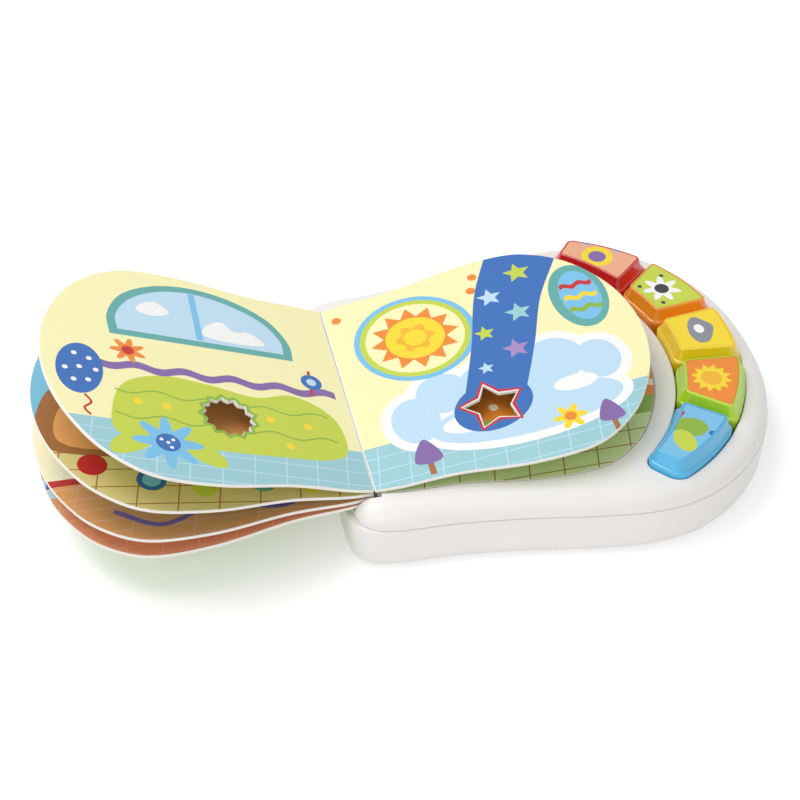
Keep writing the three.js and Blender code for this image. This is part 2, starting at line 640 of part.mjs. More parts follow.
CAP_NAMES.forEach((name, i) => {
  const corners = crescent(i, i + 1, CAP_ARC_STEPS, CAP_HALF_GAP);
  const centre = corners.reduce((sum, p) => sum.add(p), point(0, 0)).divideScalar(corners.length);
  const cap = buttonCap(i, centre.x, centre.y).add(capFlange(i));
  const colour = new THREE.MeshStandardMaterial({ color: CAP_COLOURS[name], roughness: 0.25 });
  piece(`button_cap_${name}`, cap, colour);

  const labelInset = CAP_HALF_GAP + CAP_TAPER + CAP_EDGE_ROUND + LABEL_MARGIN;
  const label = prism(crescent(i, i + 1, CAP_ARC_STEPS, labelInset), CAP_TOP - LABEL, CAP_TOP);
  const print = new THREE.MeshStandardMaterial({ color: LABEL_COLOURS[name], roughness: 0.3 });
  piece(`button_label_${name}`, label, print);

  const outside = turned([
    [DOME_FOOT, DOME_BOTTOM], [DOME_FOOT, DOME_BOTTOM + 1], [DOME_RADIUS, DOME_BOTTOM + 1.4],
    [DOME_TOP_RADIUS, DOME_TOP - 1.6], [DOME_TOP_RADIUS, DOME_TOP],
  ], centre.x, centre.y, 12);
  const hollow = turned([
    [DOME_RADIUS - DOME_WALL, DOME_BOTTOM - 1], [DOME_RADIUS - DOME_WALL, DOME_BOTTOM + 1.4],
    [DOME_TOP_RADIUS - DOME_WALL, DOME_TOP - 2.4],
  ], centre.x, centre.y, 12);
  piece(`rubber_dome_${name}`, cut(outside, hollow), finish.silicone);
});

const ringOutline = crescent(0, CAP_NAMES.length, RING_ARC_STEPS, PCB_INSET);
piece('button_board', prism(ringOutline, BUTTON_PCB_TOP - BOARD_PCB, BUTTON_PCB_TOP), finish.circuit);

// Electronics

const pcbBottom = MAIN_PCB.height + GAP;
const pcbTop = pcbBottom + BOARD_PCB;
const pcb = block(
  [MAIN_PCB.x - MAIN_PCB.length / 2, MAIN_PCB.x + MAIN_PCB.length / 2],
  [MAIN_PCB.y - MAIN_PCB.width / 2, MAIN_PCB.y + MAIN_PCB.width / 2],
  [pcbBottom, pcbTop],
);
const pcbHoles = pcbPosts.map(([x, y]) => cylinder(PIN_RADIUS + GAP, 0, pcbTop + 1, x, y, 10));
piece('main_board', cut(pcb, ...pcbHoles), finish.circuit);
const chipX = MAIN_PCB.x + CHIP.x;
piece('sound_chip', block(
  [chipX - CHIP.size / 2, chipX + CHIP.size / 2],
  [MAIN_PCB.y - CHIP.size / 2, MAIN_PCB.y + CHIP.size / 2],
  [pcbTop + GAP, pcbTop + GAP + CHIP.height],
), finish.black);
piece('capacitor', cylinder(
  CAPACITOR.radius,
  pcbTop + GAP,
  pcbTop + GAP + CAPACITOR.height,
  MAIN_PCB.x + MAIN_PCB.length / 2 - CAPACITOR.fromEnd,
  MAIN_PCB.y + CAPACITOR.y,
  16,
), finish.black);

const speakerFloor = WALL + GAP;
const basketTop = speakerFloor + SPEAKER_DEPTH;
const basket = cut(
  turned([
    [SPEAKER_RADIUS, speakerFloor], [SPEAKER_RADIUS, speakerFloor + SPEAKER_RIM],
    [SPEAKER_RADIUS - 3, speakerFloor + SPEAKER_RIM], [MAGNET_RADIUS, basketTop - 1.2],
    [MAGNET_RADIUS, basketTop],
  ], SPEAKER_X, 0, 22),
  turned([
    [SPEAKER_RADIUS - 2.4, speakerFloor - 1], [SPEAKER_RADIUS - 2.4, speakerFloor + 0.9],
    [MAGNET_RADIUS - 2, basketTop - 1.8], [MAGNET_RADIUS - 2, basketTop - 1.2],
  ], SPEAKER_X, 0, 22),
);
piece('speaker_basket', basket, finish.steel);
piece('speaker_magnet', cylinder(
  MAGNET_RADIUS,
  basketTop + GAP,
  basketTop + GAP + MAGNET_HEIGHT,
  SPEAKER_X,
  0,
  28,
), finish.black);
const coneRim = SPEAKER_RADIUS - 2.4 - GAP;
const cone = cut(
  turned([
    [coneRim, speakerFloor], [coneRim, speakerFloor + 0.5], [coneRim - 2, speakerFloor + 0.7],
    [6, speakerFloor + 4.2], [6, speakerFloor + 4.6],
  ], SPEAKER_X, 0, 18),
  turned([
    [coneRim - 2, speakerFloor - 1], [coneRim - 2.4, speakerFloor + 0.1],
    [5.4, speakerFloor + 3.6], [5.4, speakerFloor + 4],
  ], SPEAKER_X, 0, 18),
);
piece('speaker_cone', cone, finish.paperCone);

// Power supply

const cellY = CELL_RADIUS + CELL_SIDE_GAP / 2;
const cellZ = DOOR + 2 * GAP + CELL_RADIUS;
[1, -1].forEach((side, i) => {
  const body = turned([
    [CELL_RADIUS - 0.4, 0], [CELL_RADIUS, 0.4], [CELL_RADIUS, CELL_LENGTH - CELL_NUB.length - 0.4],
    [CELL_RADIUS - 0.4, CELL_LENGTH - CELL_NUB.length],
    [CELL_NUB.radius, CELL_LENGTH - CELL_NUB.length], [CELL_NUB.radius, CELL_LENGTH],
  ], 0, 0, 18);
  const cell = piece(`battery_${i + 1}`, body, finish.cell);
  cell.rotation.y = side * Math.PI / 2;
  cell.position.set(BAY_X - side * (CELL_LENGTH - SPRING_LENGTH) / 2, side * cellY, cellZ);
});

// A flat contact with a tapered coil where it meets a cell's flat end
function contact(yLow, yHigh, wallSide, coilY) {
  const plateX = BAY_X + wallSide * (bayHalf.x - GAP - CONTACT / 2);
  const plate = block(
    [plateX - CONTACT / 2, plateX + CONTACT / 2],
    [yLow, yHigh],
    [DOOR + 3 * GAP, bayCeiling - GAP],
  );
  if (coilY === undefined) return plate;
  const turns = 2.5;
  const steps = 20;
  const length = SPRING_LENGTH - 2 * GAP;
  const helix = Array.from({ length: steps + 1 }, (_, i) => {
    const share = i / steps;
    const angle = 2 * Math.PI * turns * share;
    const radius = 5 - 2 * share;
    return new THREE.Vector3(
      plateX - wallSide * (share * length + SPRING_WIRE / 2),
      coilY + radius * Math.cos(angle),
      cellZ + radius * Math.sin(angle),
    );
  });
  const wire = new THREE.Shape(circle(SPRING_WIRE, 5));
  const coil = new THREE.ExtrudeGeometry(wire, {
    steps, bevelEnabled: false, extrudePath: new THREE.CatmullRomCurve3(helix),
  });
  return plate.add(solid(coil));
}

const contactInner = CELL_SIDE_GAP;
const contactOuter = bayHalf.y - GAP;
piece('contact_bridge', contact(-contactOuter, contactOuter, -1, cellY), finish.steel);
piece('contact_spring', contact(-contactOuter, -contactInner, 1, -cellY), finish.steel);
piece('contact_plate', contact(contactInner, contactOuter, 1), finish.steel);

const doorPlate = joined(
  block([BAY_X - doorHalf.x, BAY_X + doorHalf.x], [-doorHalf.y, doorHalf.y], [0, DOOR]),
  block(
    [BAY_X + doorHalf.x - 1, BAY_X + doorHalf.x + DOOR_TONGUE],
    [-DOOR_TONGUE / 2, DOOR_TONGUE / 2],
    [0, DOOR],
  ),
);
const doorHole = cylinder(SCREW.shaft + 0.25, -1, DOOR + 1, doorScrewX, 0, 14);
const doorSink = cylinder(SCREW.head + GAP, -1, DOOR - GAP, doorScrewX, 0, 18);
piece('battery_door', cut(doorPlate, doorHole, doorSink), finish.shell);

// Screws, with a cross recess in the head

function screw(headBottom, headHeight, length, x, y) {
  const half = SCREW.slotWidth / 2;
  const arm = SCREW.head * 0.62;
  const crossTop = headBottom + Math.min(SCREW.slotDepth, headHeight - 0.4);
  return cut(
    joined(
      cylinder(SCREW.head, headBottom, headBottom + headHeight, x, y, 14),
      cylinder(SCREW.shaft, headBottom, headBottom + length, x, y, 8),
    ),
    block([x - half, x + half], [y - arm, y + arm], [headBottom - 1, crossTop]),
    block([x - arm, x + arm], [y - half, y + half], [headBottom - 1, crossTop]),
  );
}

bossPlaces.forEach(([x, y], i) => {
  const headBottom = SCREW_SUNK - GAP - SCREW.headHeight;
  const length = SEAM_HEIGHT + SCREW_REACH - headBottom;
  piece(`housing_screw_${i + 1}`, screw(headBottom, SCREW.headHeight, length, x, y), finish.steel);
});
piece('battery_door_screw', screw(GAP / 2, DOOR - 2 * GAP, DOOR_SCREW_LENGTH, doorScrewX, 0), finish.steel);

// Power switch, at rest at the end of its slot nearest the spine

const knobX = switchX - SWITCH_TRAVEL / 2;
const flangePlate = block(
  [knobX - SWITCH_FLANGE.length / 2, knobX + SWITCH_FLANGE.length / 2],
  [switchFlangeY, switchFlangeY + SWITCH_FLANGE.thickness],
  [SWITCH.height - SWITCH_FLANGE.height / 2, SWITCH.height + SWITCH_FLANGE.height / 2],
);
const knob = block(
  [knobX - SWITCH.knobLength / 2, knobX + SWITCH.knobLength / 2],
  [switchFlangeY, backWall + SWITCH.stickOut],
  [SWITCH.height - SWITCH.knobHeight / 2, SWITCH.height + SWITCH.knobHeight / 2],
);
const GRIPS = [-2, 0, 2];
const gripCuts = GRIPS.map((offset) => block(
  [knobX + offset - 0.4, knobX + offset + 0.4],
  [backWall + SWITCH.stickOut - 0.7, backWall + SWITCH.stickOut + 1],
  [SWITCH.height - SWITCH.knobHeight, SWITCH.height + SWITCH.knobHeight],
));
piece('power_switch_knob', cut(flangePlate.add(knob), ...gripCuts), finish.knob);
piece('power_switch_body', block(
  [switchX - SWITCH_BODY.length / 2, switchX + SWITCH_BODY.length / 2],
  [switchBodyY, switchBodyY + SWITCH_BODY.depth],
  [switchShelf + GAP, switchShelf + GAP + SWITCH_BODY.height],
), finish.black);

export default book;
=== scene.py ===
# Looks of an interactive board book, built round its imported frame: a white two-part plastic base,
# die-cut printed leaves and five glossy sound buttons. Sizes in this file are in millimetres.
import math

import bmesh
import bpy
import numpy as np
from mathutils import Matrix, Vector
from mathutils.geometry import delaunay_2d_cdt


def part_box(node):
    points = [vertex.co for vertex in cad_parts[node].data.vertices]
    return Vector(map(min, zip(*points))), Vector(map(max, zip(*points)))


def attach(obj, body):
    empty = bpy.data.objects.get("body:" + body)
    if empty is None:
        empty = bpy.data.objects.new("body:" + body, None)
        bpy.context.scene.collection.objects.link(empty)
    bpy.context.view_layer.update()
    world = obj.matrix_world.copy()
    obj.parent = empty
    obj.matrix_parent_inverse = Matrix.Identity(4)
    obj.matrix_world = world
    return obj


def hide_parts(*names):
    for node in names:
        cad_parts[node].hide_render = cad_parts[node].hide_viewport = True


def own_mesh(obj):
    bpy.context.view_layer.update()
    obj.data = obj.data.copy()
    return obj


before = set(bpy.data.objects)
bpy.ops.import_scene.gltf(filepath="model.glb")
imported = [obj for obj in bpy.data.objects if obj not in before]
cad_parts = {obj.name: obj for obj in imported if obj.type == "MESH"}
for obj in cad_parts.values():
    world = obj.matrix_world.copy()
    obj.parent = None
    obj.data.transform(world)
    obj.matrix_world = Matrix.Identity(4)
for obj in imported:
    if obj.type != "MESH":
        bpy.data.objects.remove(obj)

bl_info = {
    "name": "Interactive board book",
    "version": (1, 0, 0),
    "blender": (4, 5, 0),
    "location": "3D View > Sidebar > Board Book",
    "description": "Adds the base, leaves and sound buttons of an interactive board book",
    "category": "Add Mesh",
}

MM = 0.001
WAVE_PERIOD = math.pi / 10      # distance between a wave texture's bands at scale 1, in metres


def box_mm(node):
    """Lowest and highest corner of a frame node, in millimetres."""
    return [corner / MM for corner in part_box(node)]


# Places taken from the frame
UPPER_BOX = box_mm("upper_shell")
LOWER_BOX = box_mm("lower_shell")
PANEL_BOX = box_mm("page_panel")
BINDING_BOX = box_mm("spine_binding")
CAP_BOX = box_mm("button_cap_yellow")
LABEL_BOX = box_mm("button_label_yellow")
DOOR_BOX = box_mm("battery_door")
KNOB_BOX = box_mm("power_switch_knob")

# Base, seen from above: distance from the hinge line, and half width
HALF_OUTLINE = [
    (-12.6, 0), (-12.6, 46), (-12.4, 76), (-10.3, 86.5), (-3.5, 93.4), (8, 96.6), (42, 98.8),
    (80, 104), (120, 111.4), (152, 115), (179.9, 111.5), (205.9, 98.6), (227, 78.5), (241.5, 53),
    (248.6, 27), (250.5, 0),
]
HINGE_X = -117
HINGE_Z = 45
LEDGE = 0.6
SPINE_LEDGE = 3.4
NOSE_LENGTH = 22
WALL = 2.2
GAP = 0.3
TOP_HEIGHT = UPPER_BOX[1].z
UPPER_BOTTOM = UPPER_BOX[0].z
SEAM_HEIGHT = LOWER_BOX[1].z
CHANNEL_FLOOR = BINDING_BOX[0].z - GAP
CHANNEL_HALF = 80.1
CHANNEL_END = BINDING_BOX[1].x + GAP
SPINE_END = LOWER_BOX[0].x - 1
STRAIGHT_SIDE = 1.2             # of the upper shell, between the seam and its rounded rim
SEAM_SOFTNESS = 0.7
BOTTOM_ROUND = 7
BOTTOM_ROUND_HEIGHT = 11
CEILING = TOP_HEIGHT - 5
LIP_DEPTH = 4.5
PAST = 1                        # how far a cutting tool reaches past a surface
FAR_PAST = 5

# Leaves, seen from above: distance from the hinge line, and half width
LEAF_HALF_OUTLINE = [
    (0, 77.5), (14.3, 79.3), (45.8, 80.5), (90.6, 87.3), (127.3, 85.2), (151.3, 70),
    (165.6, 50.6), (174.9, 28.7), (178.9, 0),
]
LEAF_PITCH = 2.5
LEAF_DROP = 0.15
LEFT_ANGLES = {"left_leaf_1": 22.5, "left_leaf_2": 12.1, "left_leaf_3": 2.6, "front_cover": -2.1}
RIGHT_ANGLE = 7.8
PANEL_SHIFT = 3.7
PANEL_GAP = 0.4
BURST_HOLE = (77, -32.4, 15.3, 12.6, 13, 0)
STAR_HOLE = (78.7, -37.3, 17.5, 9.6, 5, 22)

# Button crescent, between two arcs centred on the base's middle line
INNER_ARC = (85.3, 110.5)
OUTER_ARC = (122.9, 115.7)
INNER_CUTS = (-53.9, -26.9, -9.6, 9.6, 26.9, 53.9)
OUTER_CUTS = (-68.3, -39.9, -11.5, 11.5, 39.9, 68.3)
CAP_CORNER = 7
LEAST_CORNER = 1.2
CAP_HALF_GAP = 0.4
CAP_TOP = CAP_BOX[1].z
CAP_TAPER = 3.5
CAP_EDGE_ROUND = 1.1
LABEL_INSET = 5.5
BUTTONS = ("blue", "green", "yellow", "orange", "red")

# Underside
SCREW_PLACES = ((7, 83), (118, 99), (236, 50))
BOSS_RADIUS = 4
SCREW_HOLE_RADIUS = 3.3
SCREW_SUNK = 18
SPEAKER_X = -62
SOUND_HOLE_RADIUS = 1.7
SOUND_HOLE_PITCH = 6
SOUND_HOLE_RINGS = 3
DOOR_TONGUE = 8
KNOB_TRAVEL = 8
SLOT_HALF_LENGTH = 7.9
SLOT_HALF_HEIGHT = 2.7

# Button caps, domes and labels, from the outside in
CAP_CUT_OFF = 1.3               # feet of the cap that its looks leave out
CAP_SHOULDER = 1
CAP_STEP = ((0, 0), (0.1, 1.4), (0.3, 1.9), (0.7, 2.2), (1.1, 2.35), (1.4, 2.6), (1.6, 3.1))
CAP_EDGE_RISE = 1.2             # height of a cap's rounded edge, to its reach inwards
LABEL_SEAT_DEPTH = 0.7
LABEL_GROUNDS = {"blue": "sky", "green": "orange", "yellow": "yellow", "orange": "lime", "red": "salmon"}
DOME_FOOT = 7
DOME_RADIUS = 5
DOME_TOP_RADIUS = 3.4
DOME_WALL = 1

# Stage: the floor in millimetres, the lamps and camera in metres and watts
FLOOR_REACH = 6000
FLOOR_LEVEL = -0.05
LAMPS = (("key", (-0.7, 0.35, 1.45), 1.0, 11.5), ("fill", (-0.8, -1.3, 0.8), 1.2, 5.5))
CAMERA_PLACE = (-0.2419, -0.6699, 0.6779)
CAMERA_TURN = (46.95, 0, -13.21)
CAMERA_LENS = 72.11


# Outlines

def smooth_curve(points, per_span, closed=False):
    """Points along a centripetal Catmull-Rom curve through the given ones."""
    p = np.array(points, float)
    if closed:
        p = np.vstack([p[-1:], p, p[:2]])
    else:
        p = np.vstack([2 * p[0] - p[1], p, 2 * p[-1] - p[-2]])
    curve = []
    for a, b, c, d in zip(p, p[1:], p[2:], p[3:]):
        before, span, after = (
            max(np.linalg.norm(q - r), 1e-6) ** 0.5 for q, r in ((b, a), (c, b), (d, c))
        )
        leave = ((b - a) / before - (c - a) / (before + span) + (c - b) / span) * span
        arrive = ((c - b) / span - (d - b) / (span + after) + (d - c) / after) * span
        for t in np.arange(per_span) / per_span:
            curve.append(
                b + leave * t + (3 * (c - b) - 2 * leave - arrive) * t ** 2
                + (2 * (b - c) + leave + arrive) * t ** 3
            )
    if not closed:
        curve.append(p[-2])
    return np.array(curve)


def inset(outline, distance):
    """The outline moved in by a distance, or out by a negative one."""
    before = outline - np.roll(outline, 1, 0)
    after = np.roll(outline, -1, 0) - outline
    before /= np.linalg.norm(before, axis=1)[:, None]
    after /= np.linalg.norm(after, axis=1)[:, None]
    along = before + after
    along /= np.linalg.norm(along, axis=1)[:, None]
    mitre = np.minimum(1 / np.maximum((before * along).sum(1), 0.5), 1.3)
    across = np.stack([-along[:, 1], along[:, 0]], 1)
    return outline + across * (distance * mitre)[:, None]


def circle(radius, sides=40, x=0, y=0):
    angles = np.linspace(0, 2 * np.pi, sides, endpoint=False)
    return np.stack([x + radius * np.cos(angles), y + radius * np.sin(angles)], 1)


def burst(x, y, outer, inner, points, turn=0):
    """A star with the given number of points."""
    angles = np.pi * np.arange(2 * points) / points + math.radians(turn)
    radii = np.where(np.arange(2 * points) % 2, inner, outer)
    return np.stack([x + radii * np.cos(angles), y + radii * np.sin(angles)], 1)


def base_outline(spine_ledge, out, per_span):
    spine_end = HALF_OUTLINE[0][0]
    half = [
        (x + HINGE_X - spine_ledge * max(0, 1 - (x - spine_end) / NOSE_LENGTH), y)
        for x, y in HALF_OUTLINE
    ]
    whole = [(x, -y) for x, y in half] + half[-2:0:-1]
    return inset(smooth_curve(whole, per_span, closed=True), -out)


def leaf_outline(per_span=8):
    whole = [(x, -y) for x, y in LEAF_HALF_OUTLINE] + LEAF_HALF_OUTLINE[-2::-1]
    return smooth_curve(whole, per_span)


def arc_point(arc, angle):
    centre, radius = arc
    return np.array([HINGE_X + centre + radius * math.cos(angle), radius * math.sin(angle)])


def cut_line(index, shrink, side, arcs):
    """Where a cut line, moved sideways into its slice, meets the crescent's two arcs."""
    start = arc_point(INNER_ARC, math.radians(INNER_CUTS[index]))
    along = arc_point(OUTER_ARC, math.radians(OUTER_CUTS[index])) - start
    along /= np.linalg.norm(along)
    start = start + np.array([-along[1], along[0]]) * side * shrink
    ends = []
    for centre, radius in arcs:
        offset = start - (HINGE_X + centre, 0)
        b = offset @ along
        ends.append(start + along * (math.sqrt(b * b - offset @ offset + radius ** 2) - b))
    return ends


def crescent(first, last, shrink, arc_steps=18, corner_steps=7):
    """The stretch of the button crescent between two cut lines, moved in all round, with
    rounded corners. Every distance gives the same number of points."""
    inner = (INNER_ARC[0], INNER_ARC[1] + shrink)
    outer = (OUTER_ARC[0], OUTER_ARC[1] - shrink)
    start_in, start_out = cut_line(first, shrink, 1, (inner, outer))
    end_in, end_out = cut_line(last, shrink, -1, (inner, outer))
    trim = max(CAP_CORNER - shrink, LEAST_CORNER)

    def angle(arc, place):
        return math.atan2(place[1], place[0] - HINGE_X - arc[0])

    def towards(a, b):
        return a + (b - a) / np.linalg.norm(b - a) * trim

    def fillet(a, corner, b):
        handle = 0.5523
        t = np.linspace(0, 1, corner_steps + 1)[:, None]
        p, q = a + (corner - a) * handle, b + (corner - b) * handle
        return a * (1 - t) ** 3 + 3 * p * t * (1 - t) ** 2 + 3 * q * t ** 2 * (1 - t) + b * t ** 3

    def sweep(arc, a, b):
        return [arc_point(arc, a + (b - a) * i / arc_steps) for i in range(1, arc_steps)]

    out_a = angle(outer, start_out) + trim / outer[1]
    out_b = angle(outer, end_out) - trim / outer[1]
    in_a = angle(inner, end_in) - trim / inner[1]
    in_b = angle(inner, start_in) + trim / inner[1]
    return np.vstack([
        fillet(towards(start_out, start_in), start_out, arc_point(outer, out_a)),
        sweep(outer, out_a, out_b),
        fillet(arc_point(outer, out_b), end_out, towards(end_out, end_in)),
        fillet(towards(end_in, end_out), end_in, arc_point(inner, in_a)),
        sweep(inner, in_a, in_b),
        fillet(arc_point(inner, in_b), start_in, towards(start_in, start_out)),
    ])


# Meshes

def new_object(name, vertices, faces, sharp=35):
    """A shaded object from places in millimetres."""
    mesh = bpy.data.meshes.new(name)
    mesh.from_pydata([Vector(v) * MM for v in vertices], [], faces)
    mesh.validate()
    mesh.polygons.foreach_set("use_smooth", [True] * len(mesh.polygons))
    mesh.set_sharp_from_angle(angle=math.radians(sharp))
    made = bpy.data.objects.new(name, mesh)
    bpy.context.scene.collection.objects.link(made)
    return made


def loft(name, rings):
    """A closed skin through a stack of (outline, height) with equal numbers of points."""
    count = len(rings[0][0])
    vertices = [(x, y, z) for outline, z in rings for x, y in outline]
    faces = []
    for ring in range(len(rings) - 1):
        for i in range(count):
            a, b = ring * count + i, ring * count + (i + 1) % count
            faces.append((a, b, b + count, a + count))
    last = (len(rings) - 1) * count
    faces.append(tuple(range(count - 1, -1, -1)))
    faces.append(tuple(range(last, last + count)))
    return new_object(name, vertices, faces)


def prism(name, outline, low, high):
    return loft(name, [(outline, low), (outline, high)])


def block(name, x, y, z):
    return prism(name, np.array([(x[0], y[0]), (x[1], y[0]), (x[1], y[1]), (x[0], y[1])]), *z)


def combine(target, tools, operation="DIFFERENCE"):
    """Cuts the tools out of the target, or joins them to it, and removes the tools."""
    for tool in tools:
        step = target.modifiers.new(tool.name, "BOOLEAN")
        step.operation = operation
        step.solver = "EXACT"
        step.object = tool
    bpy.context.view_layer.update()
    shaped = bpy.data.meshes.new_from_object(
        target.evaluated_get(bpy.context.evaluated_depsgraph_get())
    )
    target.modifiers.clear()
    target.data = shaped
    for tool in tools:
        bpy.data.objects.remove(tool)
    clean = bmesh.new()
    clean.from_mesh(shaped)
    bmesh.ops.remove_doubles(clean, verts=clean.verts, dist=0.002 * MM)
    bmesh.ops.dissolve_degenerate(clean, edges=clean.edges, dist=0.002 * MM)
    clean.to_mesh(shaped)
    clean.free()
    shaped.polygons.foreach_set("use_smooth", [True] * len(shaped.polygons))
    shaped.set_sharp_from_angle(angle=math.radians(28))
    if not shaped.polygons:
        raise RuntimeError(f"nothing is left of {target.name}")
    return target


def rounded_rings(outline, reach, flat_z, upright_z, steps, wall=0):
    """Rings of a quarter-round edge, from flat to upright."""
    angles = [math.pi / 2 * i / steps for i in range(steps + 1)]
    return [
        (
            inset(outline, wall + (reach - wall) * (1 - math.sin(angle))),
            upright_z + (flat_z - upright_z) * math.cos(angle),
        )
        for angle in angles
    ]


# Materials

def linear(colour):
    """Linear red, green and blue of an sRGB hex value."""
    parts = [int(colour[i:i + 2], 16) / 255 for i in (0, 2, 4)]
    return [c / 12.92 if c <= 0.04045 else ((c + 0.055) / 1.055) ** 2.4 for c in parts]


def add(tree, kind, settings=None, **links):
    """Adds a node, sets its properties and plain inputs, and links inputs to other outputs."""
    node = tree.nodes.new("ShaderNode" + kind)
    for key, value in (settings or {}).items():
        if hasattr(node, key):
            setattr(node, key, value)
        else:
            node.inputs[int(key) if key.isdigit() else key].default_value = value
    for key, source in links.items():
        place = int(key[1:]) if key[1:].isdigit() else key.replace("_", " ")
        tree.links.new(source, node.inputs[place])
    return node


def start_material(name):
    """An empty material, and its node tree with the output in place."""
    made = bpy.data.materials.new(name)
    made.use_nodes = True
    made.node_tree.nodes.clear()
    return made, made.node_tree


def surface(name, colour, settings, grain_mm, depth_mm, tint=0.02, rough_swing=0.06, patches_mm=40):
    """A Principled surface with a fine grain in its relief and faint patches in colour and gloss."""
    made, tree = start_material(name)
    place = add(tree, "TexCoord")
    grain = add(tree, "TexNoise", {"Scale": 1 / (grain_mm * MM), "Detail": 2.0, "Roughness": 0.5},
                Vector=place.outputs["Object"])
    patches = add(tree, "TexNoise", {"Scale": 1 / (patches_mm * MM), "Detail": 3.0},
                  Vector=place.outputs["Object"])
    bump = add(tree, "Bump", {"Strength": 1.0, "Distance": depth_mm * MM}, Height=grain.outputs["Fac"])
    base = list(colour) + [1]
    dark = [c * (1 - tint) for c in colour] + [1]
    shade = add(tree, "Mix", {"data_type": "RGBA", "6": dark, "7": base}, _0=patches.outputs["Fac"])
    rough = settings.get("Roughness", 0.4)
    range_of_gloss = {"To Min": max(rough - rough_swing, 0.02), "To Max": rough + rough_swing}
    gloss = add(tree, "MapRange", range_of_gloss, Value=patches.outputs["Fac"])
    shader = add(tree, "BsdfPrincipled", settings, Base_Color=shade.outputs[2],
                 Roughness=gloss.outputs["Result"], Normal=bump.outputs["Normal"])
    add(tree, "OutputMaterial", Surface=shader.outputs["BSDF"])
    return made


def moulded_abs(colour):
    """Satin moulded ABS: a fine spark-eroded mould texture gives soft, broad highlights."""
    return surface("moulded_abs_white", colour, {"Roughness": 0.42, "IOR": 1.54}, 0.7, 0.006, 0.015)


def glossy_abs(name, colour):
    """Glossy ABS from a polished mould: sharp highlights along the bevels, a deep even colour."""
    settings = {"Roughness": 0.16, "IOR": 1.54, "Coat Weight": 0.4, "Coat Roughness": 0.06}
    return surface(f"polished_abs_{name}", colour, settings, 6, 0.004, 0.03, 0.03, 18)


def laminated_print(name, colour):
    """Offset print on board under a thin film: even ink, faint waves of the film in its sheen."""
    settings = {"Roughness": 0.36, "IOR": 1.5}
    return surface(f"laminated_print_{name}", colour, settings, 1.6, 0.004, 0.02, 0.07, 30)


def moulded_silicone():
    """Grey moulded silicone rubber: matt and even, so that it looks soft."""
    return surface("moulded_silicone", linear("D8D6CF"), {"Roughness": 0.6, "IOR": 1.42}, 0.8, 0.01)


def two_tones(tree, dark, light, factor):
    """A mix of two hex colours."""
    tones = {"data_type": "RGBA", "6": linear(dark) + [1], "7": linear(light) + [1]}
    return add(tree, "Mix", tones, _0=factor)


def board_edge():
    """Die-cut edge of solid white board: matt, with the plies as fine lines round the sheet."""
    made, tree = start_material("die_cut_white_board")
    place = add(tree, "TexCoord").outputs["Object"]
    # The real plies are about 0.3 mm apart. They are drawn a little coarser, so that they show.
    layers = {"bands_direction": "Z", "Scale": WAVE_PERIOD / (0.7 * MM), "Distortion": 1.5}
    plies = add(tree, "TexWave", layers, Vector=place)
    fibres = add(tree, "TexNoise", {"Scale": 1 / (0.5 * MM), "Detail": 4.0}, Vector=place)
    shade = two_tones(tree, "EFEAE0", "FBF9F5", plies.outputs["Fac"])
    bump = add(tree, "Bump", {"Strength": 0.6, "Distance": 0.03 * MM}, Height=fibres.outputs["Fac"])
    shader = add(tree, "BsdfPrincipled", {"Roughness": 0.85, "IOR": 1.45}, Base_Color=shade.outputs[2],
                 Normal=bump.outputs["Normal"])
    add(tree, "OutputMaterial", Surface=shader.outputs["BSDF"])
    return made


def binding_cloth():
    """Glued book cloth: a plain weave of fine threads that catches light on both directions."""
    made, tree = start_material("woven_binding_cloth")
    place = add(tree, "TexCoord").outputs["Object"]
    threads = {"Scale": WAVE_PERIOD / (0.6 * MM), "Distortion": 0.4}
    warp, weft = (
        add(tree, "TexWave", {"bands_direction": way, **threads}, Vector=place).outputs["Fac"]
        for way in ("Y", "Z")
    )
    both = add(tree, "Math", {"operation": "MULTIPLY"}, _0=warp, _1=weft)
    shade = two_tones(tree, "DAD6CC", "F6F4EF", both.outputs[0])
    bump = add(tree, "Bump", {"Strength": 0.8, "Distance": 0.06 * MM}, Height=both.outputs[0])
    shader = add(tree, "BsdfPrincipled", {"Roughness": 0.9, "Sheen Weight": 0.2},
                 Base_Color=shade.outputs[2], Normal=bump.outputs["Normal"])
    add(tree, "OutputMaterial", Surface=shader.outputs["BSDF"])
    return made


